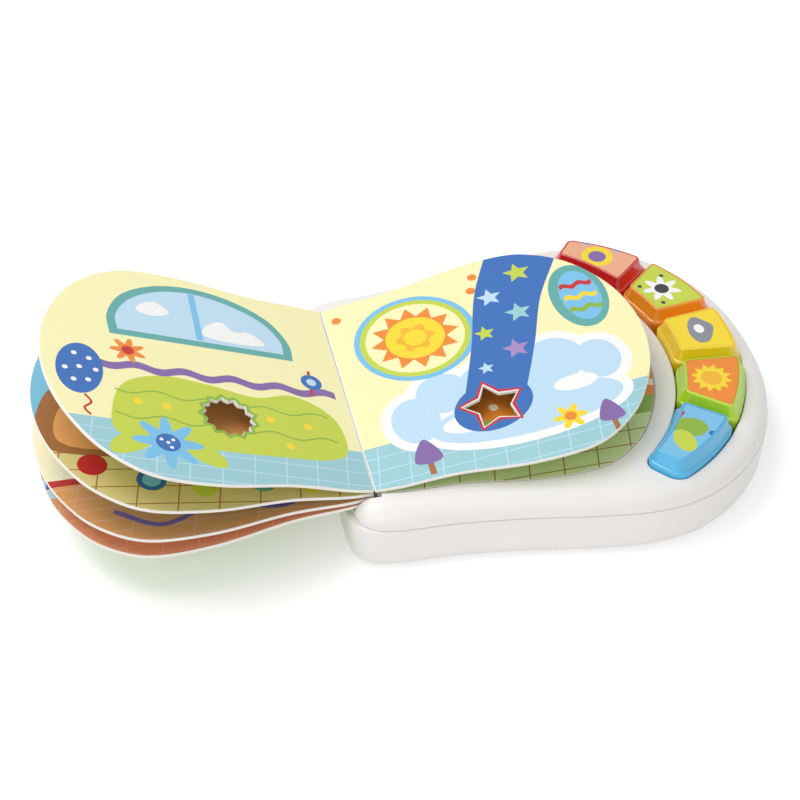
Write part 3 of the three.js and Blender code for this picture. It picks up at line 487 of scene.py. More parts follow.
def inner_finishes():
    """Materials of the parts inside the base and on its underside, by the frame's nodes."""
    # Green solder mask: glossy, with the copper's edges as faint unevenness
    mask = surface("solder_masked_board", linear("2F7A45"), {"Roughness": 0.35, "IOR": 1.5}, 2.0, 0.02, 0.12)
    # Black moulded plastic: dark, with a soft sheen
    black = surface("moulded_black_abs", linear("1C1C1E"), {"Roughness": 0.45, "IOR": 1.54}, 0.6, 0.008)
    # Pressed and fired ferrite: dull, dark and slightly grainy
    ferrite = surface("sintered_ferrite", linear("34343A"), {"Roughness": 0.6, "IOR": 2.2}, 0.5, 0.02, 0.1)
    # Pulp pressed to a cone: quite matt, with visible fibres
    paper = surface("pressed_paper_cone", linear("3A3836"), {"Roughness": 0.92}, 0.35, 0.04, 0.2)
    # Sheet steel and screws under zinc: a cool, slightly cloudy shine
    zinc = {"Roughness": 0.32, "Metallic": 1.0}
    steel = surface("zinc_plated_steel", linear("B9BCC0"), zinc, 0.4, 0.004, 0.1)
    # Shrunk sleeve of a cell: a smooth grey with a half metallic gleam
    sleeve = {"Roughness": 0.28, "Metallic": 0.5}
    cell = surface("printed_cell_sleeve", linear("8F9296"), sleeve, 3.0, 0.004, 0.1)
    # Orange moulded plastic: a bright spot in the white wall
    knob = surface("moulded_abs_orange", linear("F5A033"), {"Roughness": 0.38, "IOR": 1.54}, 0.7, 0.006)
    return {
        "button_board": mask, "main_board": mask, "sound_chip": black, "capacitor": black,
        "power_switch_body": black, "power_switch_knob": knob, "speaker_magnet": ferrite,
        "speaker_cone": paper, "speaker_basket": steel, "contact": steel, "housing_screw": steel,
        "battery_door_screw": steel, "battery_1": cell, "battery_2": cell,
    }


def seen_or_mirrored(tree):
    """1 for rays from the camera and for mirrored ones, and 0 for those that only give light."""
    ray = add(tree, "LightPath")
    return add(tree, "Math", {"operation": "MAXIMUM"}, _0=ray.outputs["Is Camera Ray"],
               _1=ray.outputs["Is Glossy Ray"]).outputs[0]


def studio_floor():
    """Matt white sweep: its own faint glow keeps it white to the horizon and the shadow soft, and
    from behind it is clear, so that the underside can be seen."""
    made, tree = start_material("pale_studio_floor")
    place = add(tree, "TexCoord")
    away = add(tree, "VectorMath", {"operation": "LENGTH"}, _0=place.outputs["Object"])
    level = add(tree, "MapRange", {"From Min": 0.6, "From Max": 2.5, "To Min": 0.28, "To Max": 0.6},
                Value=away.outputs["Value"])
    lift = add(tree, "Math", {"operation": "MULTIPLY"}, _0=seen_or_mirrored(tree), _1=level.outputs[0])
    matt = add(tree, "BsdfDiffuse", {"Color": linear("FAFAFA") + [1]})
    glow = add(tree, "Emission", {"Color": (1, 1, 1, 1)}, Strength=lift.outputs[0])
    both = add(tree, "AddShader", _0=matt.outputs[0], _1=glow.outputs[0])
    side = add(tree, "NewGeometry")
    clear = add(tree, "BsdfTransparent")
    shown = add(tree, "MixShader", _0=side.outputs["Backfacing"], _1=both.outputs[0],
                _2=clear.outputs[0])
    add(tree, "OutputMaterial", Surface=shown.outputs[0])
    return made


def white_studio():
    """Even white surroundings, which look brighter than the light they give."""
    world = bpy.data.worlds.new("white_studio")
    world.use_nodes = True
    tree = world.node_tree
    tree.nodes.clear()
    level = add(tree, "MapRange", {"To Min": 0.56, "To Max": 1.0}, Value=seen_or_mirrored(tree))
    light = add(tree, "Background", {"Color": (1, 1, 1, 1)}, Strength=level.outputs[0])
    add(tree, "OutputWorld", Surface=light.outputs[0])
    return world


def wear(made, *materials):
    made.data.materials.clear()
    for material in materials:
        made.data.materials.append(material)
    return made


# Printed shapes, in a leaf's own plane: u away from the hinge line, v to the back

def ellipse(u, v, across, along=None, turn=0, sides=36):
    angles = np.linspace(0, 2 * np.pi, sides, endpoint=False)
    x, y = across * np.cos(angles), (along or across) * np.sin(angles)
    c, s = math.cos(math.radians(turn)), math.sin(math.radians(turn))
    return np.stack([u + x * c - y * s, v + x * s + y * c], 1)


def rectangle(u0, v0, u1, v1, lean=0):
    """A rectangle whose far edge is shifted sideways by the lean."""
    return np.array([(u0, v0), (u1, v0), (u1 + lean, v1), (u0 + lean, v1)], float)


def blob(*points):
    return smooth_curve(points, 7, closed=True)


def ribbon(points, width, end_width=None, per_span=8):
    """A band along a smooth line, which may widen or narrow on its way."""
    line = smooth_curve(points, per_span) if len(points) > 2 else np.array(points, float)
    along = np.gradient(line, axis=0)
    along /= np.linalg.norm(along, axis=1)[:, None]
    across = np.stack([-along[:, 1], along[:, 0]], 1)
    widths = np.linspace(width, end_width or width, len(line))[:, None] / 2
    return np.vstack([line + across * widths, (line - across * widths)[::-1]])


def wave(u0, u1, v, swing, period, width):
    u = np.arange(u0, u1 + 0.1, period / 16)
    middle = v + swing * np.sin(2 * np.pi * (u - u0) / period)
    return np.vstack([
        np.stack([u, middle - width / 2], 1), np.stack([u, middle + width / 2], 1)[::-1],
    ])


def petals(u, v, radius, count, depth=0.28, turn=0):
    angles = np.linspace(0, 2 * np.pi, 72, endpoint=False)
    radii = radius * (1 - depth / 2 + depth / 2 * np.cos(count * (angles - math.radians(turn))))
    return np.stack([u + radii * np.cos(angles), v + radii * np.sin(angles)], 1)


def tiles(ink, u0, u1, v0, v1, pitch, line, lean=0):
    """Joints of a tiled or planked floor."""
    drawn = []
    for v in np.arange(v0, v1, pitch[1]):
        drawn.append((ink, rectangle(u0, v, u1, v + line)))
    for u in np.arange(u0, u1, pitch[0]):
        drawn.append((ink, rectangle(u, v0, u + line, v1, lean)))
    return drawn


def dots(ink, places, radius):
    return [(ink, ellipse(u, v, radius, sides=20)) for u, v in places]


def flower(u, v, radius, count, petal_ink, heart_ink):
    return [(petal_ink, petals(u, v, radius, count, 0.5)), (heart_ink, ellipse(u, v, radius * 0.34))]


def tree(u, v, size, ink, trunk="brown"):
    return [
        (trunk, rectangle(u - size * 0.08, v - size * 0.5, u + size * 0.08, v)),
        (ink, blob((u - size * 0.36, v), (u, v + size * 0.75), (u + size * 0.36, v), (u, v - size * 0.12))),
    ]


def window_page():
    """Yellow page: an arched window over green hills, a purple wave and a tiled floor."""
    drawn = [("teal_floor", rectangle(-2, -95, 185, -47))]
    drawn += tiles("pale_blue", 0, 180, -95, -48, (18, 10), 0.7, -8)
    arch = [(28, 25), (28, 40), (38, 60), (60, 74), (84, 79), (108, 75), (128, 62), (138, 42), (138, 25)]
    drawn.append(("teal", smooth_curve(arch, 6)))
    pane = [(33, 30), (33, 41), (42, 57), (62, 69), (84, 74), (106, 70), (124, 58), (133, 42), (133, 30)]
    drawn.append(("pale_blue", smooth_curve(pane, 6)))
    drawn.append(("white", blob((44, 36), (52, 45), (62, 44), (68, 51), (78, 46), (82, 37), (62, 33))))
    drawn.append(("white", blob((100, 52), (108, 60), (117, 56), (120, 50), (110, 47))))
    drawn.append(("sky", rectangle(82, 31, 86, 73.5)))
    drawn.append(("lime", blob((10, -50), (12, -22), (34, -7), (58, -13), (84, -8), (112, -6),
                               (134, -16), (143, -38), (142, -56), (100, -61), (50, -60), (20, -57))))
    drawn.append(("leaf_green", wave(16, 140, -22, 2, 31, 1.2)))
    drawn.append(("leaf_green", wave(14, 142, -42, 2, 31, 1.2)))
    drawn.append(("leaf_green", burst(*BURST_HOLE[:2], 18.2, 15.4, 13)))
    drawn += dots("yellow", [(30, -32), (44, -50), (112, -31), (128, -30), (124, -51), (52, -30)], 2.6)
    drawn.append(("purple", wave(7, 147, -1.5, 1.8, 28, 6)))
    drawn.append(("blue", ellipse(158, -9, 13, 21, 8)))
    spots = [(152, 0), (160, 3), (149, -9), (158, -8), (166, -10), (154, -18), (162, -19)]
    drawn += dots("white", spots, 1.6)
    drawn.append(("red", ribbon([(157, -30), (154, -36), (158, -41), (155, -46)], 1.4)))
    drawn += flower(129, 12, 10.5, 7, "orange", "red")
    drawn += [("lime", ellipse(97, -64, 16, 7, 35)), ("lime", ellipse(134, -62, 16, 7, -35))]
    drawn += flower(115, -60, 20, 8, "sky", "blue")
    drawn += dots("white", [(115, -60), (118.5, -58), (112, -57.5), (113.5, -63.5)], 1.1)
    drawn += [("red", ribbon([(22, -4), (20, 18)], 1.8)), ("blue", ellipse(20, 8, 6.5)),
              ("pale_blue", ellipse(20, 8, 3))]
    return drawn


def comet_page():
    """Yellow page: a comet over a cloud bank, a sun, a striped ball and a tiled floor."""
    drawn = [("teal_floor", rectangle(-2, -95, 185, -46))]
    drawn += tiles("pale_blue", 0, 185, -95, -47, (18, 10), 0.7, 8)
    drawn += [("teal", ellipse(152, 34, 17, 29)), ("sky", ellipse(153, 34, 12, 23))]
    for ink, v in (("red", 44), ("yellow", 33), ("leaf_green", 22)):
        drawn.append((ink, wave(143, 163, v, 1.2, 10, 4)))
    puffs = ((34, -34, 20, 24), (54, -18, 22, 22), (88, -26, 34, 32), (122, -14, 24, 24),
             (146, -22, 19, 22), (96, -48, 62, 24))
    for ink, shrink in (("white", 0), ("pale_blue", 6)):
        drawn += [(ink, ellipse(u, v, across - shrink, along - shrink)) for u, v, across, along in puffs]
    drawn += [("white", ellipse(62, -46, 15, 7)), ("white", ellipse(128, -36, 13, 6))]
    drawn += tree(34, -66, 22, "purple") + tree(139, -70, 20, "purple")
    for ink, radius in (("sky", 37), ("lime", 33.5), ("pale_yellow", 30)):
        drawn.append((ink, ellipse(50, 34, radius)))
    drawn += [("orange", burst(50, 34, 27, 19, 12)), ("yellow", ellipse(50, 34, 18)),
              ("gold", petals(50, 34, 12, 6, 0.3)), ("yellow", ellipse(50, 34, 7))]
    drawn += dots("orange", [(8, 66), (96, 74), (92, 62)], 3)
    tail = [(130, 84), (112, 50), (98, 10), (79, -37)]
    drawn.append(("blue", ribbon(tail, 44, 34)))
    drawn.append(("blue", ellipse(79, -37, 24, 19, 20)))
    for u, v, size, ink in ((123, 68, 9, "lime"), (101, 52, 8, "pale_blue"), (114, 33, 8.5, "teal_floor"),
                            (90, 22, 6.5, "lime"), (104, 3, 8.5, "lilac"), (83, -7, 5, "pale_blue")):
        drawn.append((ink, burst(u, v, size, size * 0.45, 5, 18)))
    drawn.append(("red", burst(STAR_HOLE[0], STAR_HOLE[1], 21, 12.6, 5, 22)))
    drawn.append(("white", burst(STAR_HOLE[0], STAR_HOLE[1], 18.6, 10.6, 5, 22)))
    drawn += flower(117, -61, 10, 6, "yellow", "orange")
    return drawn


def ball_page():
    """Blue page with a brown hedge and a tan floor that coloured balls lie on."""
    drawn = [("tan", rectangle(-2, -95, 185, -40)), ("cream", rectangle(-2, 40, 185, 95))]
    drawn += tiles("brown", 0, 185, -95, -41, (22, 13), 0.7, -10)
    drawn.append(("brown", blob((10, -38), (30, 8), (60, 24), (100, 20), (140, 26), (170, 6), (176, -36),
                                (140, -46), (60, -44))))
    drawn.append(("wood", blob((24, -36), (60, 8), (110, 8), (160, -2), (166, -34), (90, -40))))
    drawn += [("red", ellipse(150, -52, 8)), ("teal", ellipse(60, -66, 8)), ("lime", ellipse(92, -70, 7)),
              ("blue", ellipse(120, -64, 8)), ("sky", ellipse(120, -64, 5)), ("yellow", ellipse(34, -66, 9)),
              ("purple", ellipse(75, -53, 6)), ("orange", ellipse(104, -54, 6))]
    drawn += dots("white", [(57, -64), (63, -64), (60, -70), (60, -60)], 1.4)
    drawn.append(("yellow", blob((150, 74), (162, 56), (172, 36), (181, 10), (186, 44), (170, 80))))
    drawn += flower(60, 54, 14, 8, "orange", "yellow")
    drawn += flower(110, 60, 11, 6, "purple", "yellow")
    return drawn


def plank_page():
    """Pale page with a salmon band and an orange plank floor."""
    drawn = [("cream", rectangle(-2, -34, 185, 30)), ("salmon", rectangle(-2, 30, 185, 44))]
    drawn.append(("wood", rectangle(-2, -95, 185, -38)))
    drawn += tiles("salmon", 0, 185, -95, -39, (34, 9), 0.8, -14)
    drawn.append(("red", rectangle(-2, -38, 185, -33)))
    drawn.append(("purple", ribbon([(20, -60), (50, -74), (84, -66), (116, -76), (140, -62)], 3)))
    drawn += [("sky", ellipse(150, 0, 17, 24)), ("blue", ellipse(150, 0, 11, 17))]
    drawn += flower(90, 0, 22, 9, "lime", "leaf_green")
    drawn += tree(40, -6, 34, "teal")
    return drawn


def brick_page():
    """Light-blue page with blue blocks and a pinkish floor with pale joints."""
    drawn = [("sky", rectangle(-2, 20, 185, 95)), ("blue", rectangle(-2, 14, 185, 21))]
    drawn += [("salmon", rectangle(-2, -14, 185, 14)), ("blue", rectangle(120, -22, 176, 6)),
              ("sky", rectangle(126, -16, 170, 0))]
    drawn.append(("pink_brown", rectangle(-2, -95, 185, -30)))
    drawn += tiles("salmon", 0, 185, -95, -31, (20, 9), 0.9, -12)
    drawn += dots("white", [(30, 50), (60, 62), (92, 48), (124, 60), (150, 42)], 5)
    return drawn


def dotted_page():
    """Orange page with pale dots over a green strip and pale-green tiles."""
    drawn = [("pale_green", rectangle(-2, -95, 185, -48)), ("leaf_green", rectangle(-2, -50, 185, -36))]
    drawn += tiles("brown", 0, 185, -95, -51, (20, 11), 0.7, 10)
    places = [
        (14 + 16 * i + 8 * (row % 2), -26 + 14 * row) for row in range(8) for i in range(11)
    ]
    drawn += dots("cream", places, 2.8)
    drawn += [("yellow", ellipse(80, 20, 30)), ("white", ellipse(80, 20, 24)),
              ("sky", petals(80, 20, 20, 5, 0.5))]
    return drawn


def hill_page(hill, far_hill, spot):
    """A plain landscape page: two rolling hills and a scatter of spots."""
    drawn = [(far_hill, wave(-4, 186, -46, 9, 96, 70)), (hill, wave(-4, 186, -72, 7, 74, 66))]
    drawn += dots(spot, [(28, 30), (62, 52), (98, 34), (130, 54), (152, 22), (46, 8), (112, 6)], 5)
    drawn += tree(60, -24, 30, "leaf_green") + tree(126, -30, 24, "teal")
    return drawn


def cover_page():
    """Front cover: a large sun behind hills, with a row of flowers."""
    drawn = [("orange", burst(90, 24, 52, 40, 16)), ("yellow", ellipse(90, 24, 38)),
             ("gold", ellipse(90, 24, 29)), ("lime", wave(-4, 186, -42, 8, 110, 60)),
             ("leaf_green", wave(-4, 186, -70, 6, 80, 56))]
    for u, ink in ((30, "red"), (62, "blue"), (94, "purple"), (126, "orange"), (154, "sky")):
        drawn += flower(u, -44, 10, 6, ink, "yellow")
    return drawn


# Ground ink and page design of each leaf's two faces: as they lie open, the upper one first
PAGES = {
    "left_leaf_1": (("pale_yellow", window_page),
                    ("pale_green", lambda: hill_page("lime", "leaf_green", "orange"))),
    "left_leaf_2": (("sky", ball_page), ("pale_yellow", lambda: hill_page("teal", "pale_blue", "red"))),
    "left_leaf_3": (("pale_blue", plank_page), ("cream", lambda: hill_page("orange", "gold", "sky"))),
    "front_cover": (("pale_blue", brick_page), ("sky", cover_page)),
    "right_leaf": (("pale_yellow", comet_page),
                   ("pale_blue", lambda: hill_page("lime", "teal_floor", "purple"))),
    "page_panel": (("orange", dotted_page), ("white", lambda: [])),
}
LEAF_HOLES = {"left_leaf_1": BURST_HOLE, "right_leaf": STAR_HOLE}
GUTTER = 0.7
PRINT_EDGE = 0.25


# Motifs of the button labels, in a label's own plane: u outwards, v along the crescent

def label_motifs(name):
    if name == "blue":
        return [("leaf_green", ellipse(-2, 4, 10, 7.5, 35)), ("lime", ellipse(2, -7, 9, 6, -30)),
                ("blue", ellipse(10, 8, 2)), ("red", ribbon([(-12, -12), (-11, 0), (-12, 12)], 2.2))]
    if name == "green":
        return [("yellow", burst(0, 0, 12, 8.5, 12)), ("gold", ellipse(0, 0, 6))]
    if name == "yellow":
        return [("slate", blob((-4, -11), (-7, -3), (-5, 7), (0, 12), (5, 8), (9, 2), (6, -6), (2, -11))),
                ("white", ellipse(0, 1, 3, 4))]
    if name == "orange":
        return [("white", petals(0, 0, 12, 7, 0.5)), ("black", ellipse(0, 0, 4.5))] + dots(
            "black", [(9, 9), (-9, -10), (-9, 10)], 1.4)
    return [("yellow", ellipse(0, 0, 10)), ("purple", ellipse(0, 0, 5.5)), ("sky", ellipse(11, 10, 2.6)),
            ("sky", ellipse(11, -10, 2.6))]


def inside(places, outline):
    """Which of the places lie within a closed outline."""
    a, b = outline, np.roll(outline, -1, 0)
    x, y = places[:, :1], places[:, 1:]
    crosses = (a[:, 1] > y) != (b[:, 1] > y)
    with np.errstate(divide="ignore", invalid="ignore"):
        meet = a[:, 0] + (y - a[:, 1]) / (b[:, 1] - a[:, 1]) * (b[:, 0] - a[:, 0])
    return (crosses & (x < meet)).sum(1) % 2 == 1


def printed_plan(borders, faces, grounds):
    """The plan of a board, divided into triangles by every outline of its pictures, and the ink of
    each triangle on either face: that of the last shape that covers it."""
    points, edges = [], []
    for shape in borders + [shape for drawn in faces for _, shape in drawn]:
        first = len(points)
        points += [Vector(p) for p in shape]
        edges += [(first + i, first + (i + 1) % len(shape)) for i in range(len(shape))]
    flat, _, triangles, *_ = delaunay_2d_cdt(points, edges, [], 0, 1e-3)
    flat = np.array([tuple(p) for p in flat])
    triangles = np.array([tuple(t) for t in triangles])
    centres = flat[triangles].mean(1)
    outer, *holes = borders
    kept = inside(centres, outer)
    for hole in holes:
        kept &= ~inside(centres, hole)
    triangles, centres = triangles[kept], centres[kept]
    face_inks = []
    for drawn, ground in zip(faces, grounds):
        chosen = np.full(len(triangles), ground, dtype=object)
        for ink, shape in drawn:
            chosen[inside(centres, shape)] = ink
        face_inks.append(chosen)
    used = {}
    for t in triangles.flat:
        used.setdefault(t, len(used))
    return flat[list(used)], np.vectorize(used.get)(triangles), face_inks


def bare_rim(plan, rim):
    """Where the bare rim's corners lie, outside the printed plan, by the plan's own corners."""
    leading = {b: a for a, b in rim}
    outwards = {}
    for a, b in rim:
        before, after = plan[a] - plan[leading[a]], plan[b] - plan[a]
        along = before / max(np.linalg.norm(before), 1e-9) + after / max(np.linalg.norm(after), 1e-9)
        along /= max(np.linalg.norm(along), 1e-9)
        outwards[a] = plan[a] + np.array([along[1], -along[0]]) * PRINT_EDGE
    return outwards


def printed_board(name, outline, hole, low, high, faces, grounds, rim_finish):
    """A board with a picture on either face and a bare rim with softened edges."""
    borders = [inset(outline, PRINT_EDGE)]
    if hole is not None:
        borders.append(inset(hole[::-1], PRINT_EDGE))
    plan, triangles, face_inks = printed_plan(borders, faces, grounds)
    sides = {(t[i], t[(i + 1) % 3]) for t in triangles.tolist() for i in range(3)}
    rim = [(a, b) for a, b in sides if (b, a) not in sides]
    outwards = bare_rim(plan, rim)
    order = {a: i for i, a in enumerate(outwards)}
    soft = min(PRINT_EDGE, (high - low) / 3)
    vertices = [(x, y, high) for x, y in plan] + [(x, y, low) for x, y in plan]
    for z in (high - soft, low + soft):
        vertices += [(*outwards[a], z) for a in order]
    count = len(plan)
    rim_top, rim_low = 2 * count, 2 * count + len(order)
    polygons = [tuple(t) for t in triangles.tolist()]
    polygons += [(a + count, c + count, b + count) for a, b, c in triangles.tolist()]
    for a, b in rim:
        i, j = order[a], order[b]
        polygons += [
            (a, rim_top + i, rim_top + j, b),
            (rim_top + i, rim_low + i, rim_low + j, rim_top + j),
            (rim_low + i, a + count, b + count, rim_low + j),
        ]
    made = new_object(name, vertices, polygons, sharp=30)
    inks = [None]
    for chosen in face_inks:
        inks += [ink for ink in sorted(set(chosen)) if ink not in inks]
    slots = [inks.index(ink) for chosen in face_inks for ink in chosen] + [0] * (3 * len(rim))
    wear(made, rim_finish, *[finish("ink", ink) for ink in inks[1:]])
    made.data.polygons.foreach_set("material_index", slots)
    return made


# Finishes are made once, when a piece first needs them
made_finishes = {}


def finish(kind, name=""):
    key = f"{kind}_{name}"
    if key not in made_finishes:
        colours = bpy.context.scene.board_book_colours
        if kind == "ink":
            made_finishes[key] = laminated_print(name, getattr(colours, name)[:])
        elif kind == "cap":
            made_finishes[key] = glossy_abs(name, getattr(colours, f"cap_{name}")[:])
        elif kind == "shell":
            made_finishes[key] = moulded_abs(colours.shell[:])
        elif kind == "silicone":
            made_finishes[key] = moulded_silicone()
        else:
            made_finishes[key] = board_edge()
    return made_finishes[key]


# Settings

def colour_property(name, colour, use):
    return bpy.props.FloatVectorProperty(
        name=name, description=use, subtype="COLOR", size=3, min=0, max=1, default=linear(colour))


def length_property(name, size, use):
    return bpy.props.FloatProperty(
        name=name, description=use, default=size * MM, min=0, unit="LENGTH", subtype="DISTANCE")


class BoardBookSizes(bpy.types.PropertyGroup):
    """Sizes that a user would change."""

    rim_reach: length_property("Rim reach", 12.5, "How far in the base's rounded top edge reaches")
    mouth_softness: length_property("Mouth softness", 0.6, "Softened edge round the recesses in the base")
    cap_slope: length_property("Cap slope", CAP_TAPER, "How far a button's sides lean in")
    gutter: length_property("Gutter strip", GUTTER, "Bare strip of each page beside the hinge line")
    outline_steps: bpy.props.IntProperty(
        name="Outline steps", description="Points to each stretch of the base's outline",
        default=6, min=2, max=16)


class BoardBookColours(bpy.types.PropertyGroup):
    """Colours that a user would change."""

    shell: colour_property("Shell", "F4F1EE", "Both shells of the base, and the battery door")
    cap_blue: colour_property("Blue button", "4DB9EA", "Body of the button nearest the front")
    cap_green: colour_property("Green button", "B9E01F", "Body of the second button")
    cap_yellow: colour_property("Yellow button", "FFD61F", "Body of the middle button")
    cap_orange: colour_property("Orange button", "F9941E", "Body of the fourth button")
    cap_red: colour_property("Red button", "D6232C", "Body of the button nearest the back")
    pale_yellow: colour_property("Pale yellow", "FFF8BE", "Ground of the two open pages")
    yellow: colour_property("Yellow", "FBDD2B", "Sun, flower hearts and small spots")
    gold: colour_property("Gold", "F6B92B", "Middle of the sun and some far hills")
    orange: colour_property("Orange", "F28C2A", "Flowers, the sun's rays and the panel's ground")
    red: colour_property("Red", "C8202A", "Border of the star hole and small parts")
    salmon: colour_property("Salmon", "F2B08C", "Blocks and floor joints of the lower pages")
    pink_brown: colour_property("Pinkish brown", "E3A980", "Brick floor")
    wood: colour_property("Wood", "ECA261", "Plank floor")
    tan: colour_property("Tan", "E6D392", "Tiled floor under the balls")
    brown: colour_property("Brown", "A86A3A", "Tile joints and tree trunks")
    cream: colour_property("Cream", "FFF3D2", "Pale bands and dots")
    lime: colour_property("Lime", "C9D845", "Hills")
    leaf_green: colour_property("Leaf green", "8DB63C", "Lines on the hills, and trees")
    pale_green: colour_property("Pale green", "D5E8B0", "Tiles on the panel")
    teal: colour_property("Teal", "5FADA9", "Window frame and striped ball")
    teal_floor: colour_property("Floor teal", "9FD0D8", "Tiled floor of the open pages")
    pale_blue: colour_property("Pale blue", "C3E2F7", "Window panes, clouds and tile joints")
    sky: colour_property("Sky blue", "7CC4EC", "Petals and blue bands")
    blue: colour_property("Blue", "2F6DBB", "Comet's tail, balloon and blocks")
    purple: colour_property("Purple", "8566A8", "Wavy band and small trees")
    lilac: colour_property("Lilac", "A98CC8", "A star in the comet's tail")
    slate: colour_property("Slate", "8A8F9C", "Pebble on the yellow label")
    black: colour_property("Black", "2B2A2C", "Heart of the daisy")
    white: colour_property("White", "FCFCFA", "Clouds, gutter strip and dots")


# Tools and parts of the shells

def upper_cavity(outline):
    """The hollow under the upper shell's top, which stops short of the spine channel."""
    cavity = loft("cavity", [
        (inset(outline, WALL), UPPER_BOTTOM - PAST),
        (inset(outline, WALL + 0.5), UPPER_BOTTOM + 4),
        (inset(outline, 2 * WALL), CEILING),
    ])
    half_width = UPPER_BOX[1].y + 15
    end = block("end", (SPINE_END, CHANNEL_END + WALL), (-half_width, half_width),
                (UPPER_BOTTOM - 2 * PAST, TOP_HEIGHT + FAR_PAST))
    return combine(cavity, [end])


def mouth(name, outline, floor, soft):
    """A cut down from the upper shell's top, a little wider where it meets it."""
    return loft(name, [
        (outline, floor), (outline, TOP_HEIGHT - soft),
        (inset(outline, -soft), TOP_HEIGHT), (inset(outline, -soft), TOP_HEIGHT + FAR_PAST),
    ])


def lower_hollow(outline, lip):
    """The hollow of the lower shell, narrower along its thickened upper edge."""
    return loft("hollow", [
        *rounded_rings(outline, BOTTOM_ROUND - 1, WALL, BOTTOM_ROUND_HEIGHT, 5, WALL),
        (inset(outline, WALL), SEAM_HEIGHT - LIP_DEPTH), (lip, SEAM_HEIGHT - LIP_DEPTH / 2),
        (lip, SEAM_HEIGHT + PAST),
    ])


def screw_bosses(outline, places):
    """Posts for the housing screws, kept within the shell's rounded lower edge."""
    skin_depth = 0.5
    first, *others = [
        prism(f"boss_{i}", circle(BOSS_RADIUS, 32, x, y), -PAST, SEAM_HEIGHT - 0.5)
        for i, (x, y) in enumerate(places)
    ]
    combine(first, others, "UNION")
    within = inset(outline, skin_depth)
    skin = loft("skin", [
        *rounded_rings(within, BOTTOM_ROUND, skin_depth, BOTTOM_ROUND_HEIGHT, 10),
        (within, SEAM_HEIGHT + PAST),
    ])
    return combine(first, [skin], "INTERSECT")


def sound_holes():
    """One hole under the speaker's middle, with rings of six and twelve round it."""
    holes = []
    for ring in range(SOUND_HOLE_RINGS):
        count = max(ring * 6, 1)
        for i in range(count):
            angle = 2 * math.pi * i / count
            x = SPEAKER_X + ring * SOUND_HOLE_PITCH * math.cos(angle)
            y = ring * SOUND_HOLE_PITCH * math.sin(angle)
            holes.append(prism("sound_hole", circle(SOUND_HOLE_RADIUS, 20, x, y), -PAST, WALL + PAST))
    return holes


def door_seat():
    """The opening that the battery door and its tongue lie in."""
    low, high = DOOR_BOX
    seat_end = high.x - DOOR_TONGUE
    middle = (low.y + high.y) / 2
    tongue_half = DOOR_TONGUE / 2 + GAP
    height = (-PAST, WALL + 2 * PAST)
    return [
        block("seat", (low.x - GAP, seat_end + GAP), (low.y - GAP, high.y + GAP), height),
        block("tongue", (seat_end - PAST, high.x + GAP),
              (middle - tongue_half, middle + tongue_half), height),
    ]


def switch_slot():
    """The slot in the back wall that the power switch's knob slides in."""
    low, high = KNOB_BOX
    height = (low.z + high.z) / 2
    middle = (low.x + high.x + KNOB_TRAVEL) / 2
    return block("slot", (middle - SLOT_HALF_LENGTH, middle + SLOT_HALF_LENGTH), (high.y - 9, high.y + 2),
                 (height - SLOT_HALF_HEIGHT, height + SLOT_HALF_HEIGHT))


# Parts of the buttons

def button_cap(index, name, slope):
    """A cap with a small step round its foot, leaning sides, a rounded edge and a label's seat."""
    def ring(shrink, z):
        return crescent(index, index + 1, CAP_HALF_GAP + shrink), z

    shoulder = TOP_HEIGHT + CAP_SHOULDER
    edge_height = CAP_EDGE_ROUND * CAP_EDGE_RISE
    side_top = CAP_TOP - edge_height
    seat = LABEL_INSET - CAP_HALF_GAP
    return loft(f"cap_{name}", [
        ring(0, CAP_BOX[0].z + CAP_CUT_OFF),
        *[ring(shrink, shoulder + rise) for shrink, rise in CAP_STEP],
        ring(slope - 0.3, side_top - 1), ring(slope, side_top),
        *[
            ring(slope + CAP_EDGE_ROUND * (1 - math.cos(a)), side_top + edge_height * math.sin(a))
            for a in (math.pi / 2 * i / 6 for i in range(1, 7))
        ],
        ring(seat - 0.2, CAP_TOP), ring(seat - 0.15, CAP_TOP - LABEL_SEAT_DEPTH),
    ])


def button_label(index, name):
    """A printed label, with its picture's upper end towards the crescent's outside."""
    outline = crescent(index, index + 1, LABEL_INSET)
    centre = outline.mean(0)
    outwards = centre - (HINGE_X + OUTER_ARC[0], 0)
    outwards /= np.linalg.norm(outwards)
    turn = np.array([outwards, (-outwards[1], outwards[0])])
    ground = LABEL_GROUNDS[name]
    motifs = [(ink, shape @ turn) for ink, shape in label_motifs(name)]
    label = printed_board(f"label_{name}", outline - centre, None, 0, LABEL_BOX[1].z - LABEL_BOX[0].z,
                          [motifs, []], [ground, ground], finish("ink", ground))
    label.matrix_world = Matrix.Translation(Vector((*centre, LABEL_BOX[0].z)) * MM)
    return label


def rubber_dome(name, x, y, low, high):
    """A hollow dome on a flat foot, from the roof of its hollow down and up again outside."""
    inner, top_inner = DOME_RADIUS - DOME_WALL, DOME_TOP_RADIUS - DOME_WALL
    profile = [
        (top_inner, high - 2.4), (inner, low + 1.6), (inner, low), (DOME_FOOT, low),
        (DOME_FOOT, low + 0.8), (DOME_FOOT - 0.2, low + 1), (DOME_RADIUS + 0.3, low + 1.1),
        (DOME_RADIUS, low + 1.4), (DOME_TOP_RADIUS + 0.2, high - 1.9), (DOME_TOP_RADIUS, high - 1.4),
        (DOME_TOP_RADIUS, high - 0.3), (DOME_TOP_RADIUS - 0.3, high),
    ]
    return loft(f"dome_{name}", [(circle(radius, 40, x, y), z) for radius, z in profile])


# Pieces

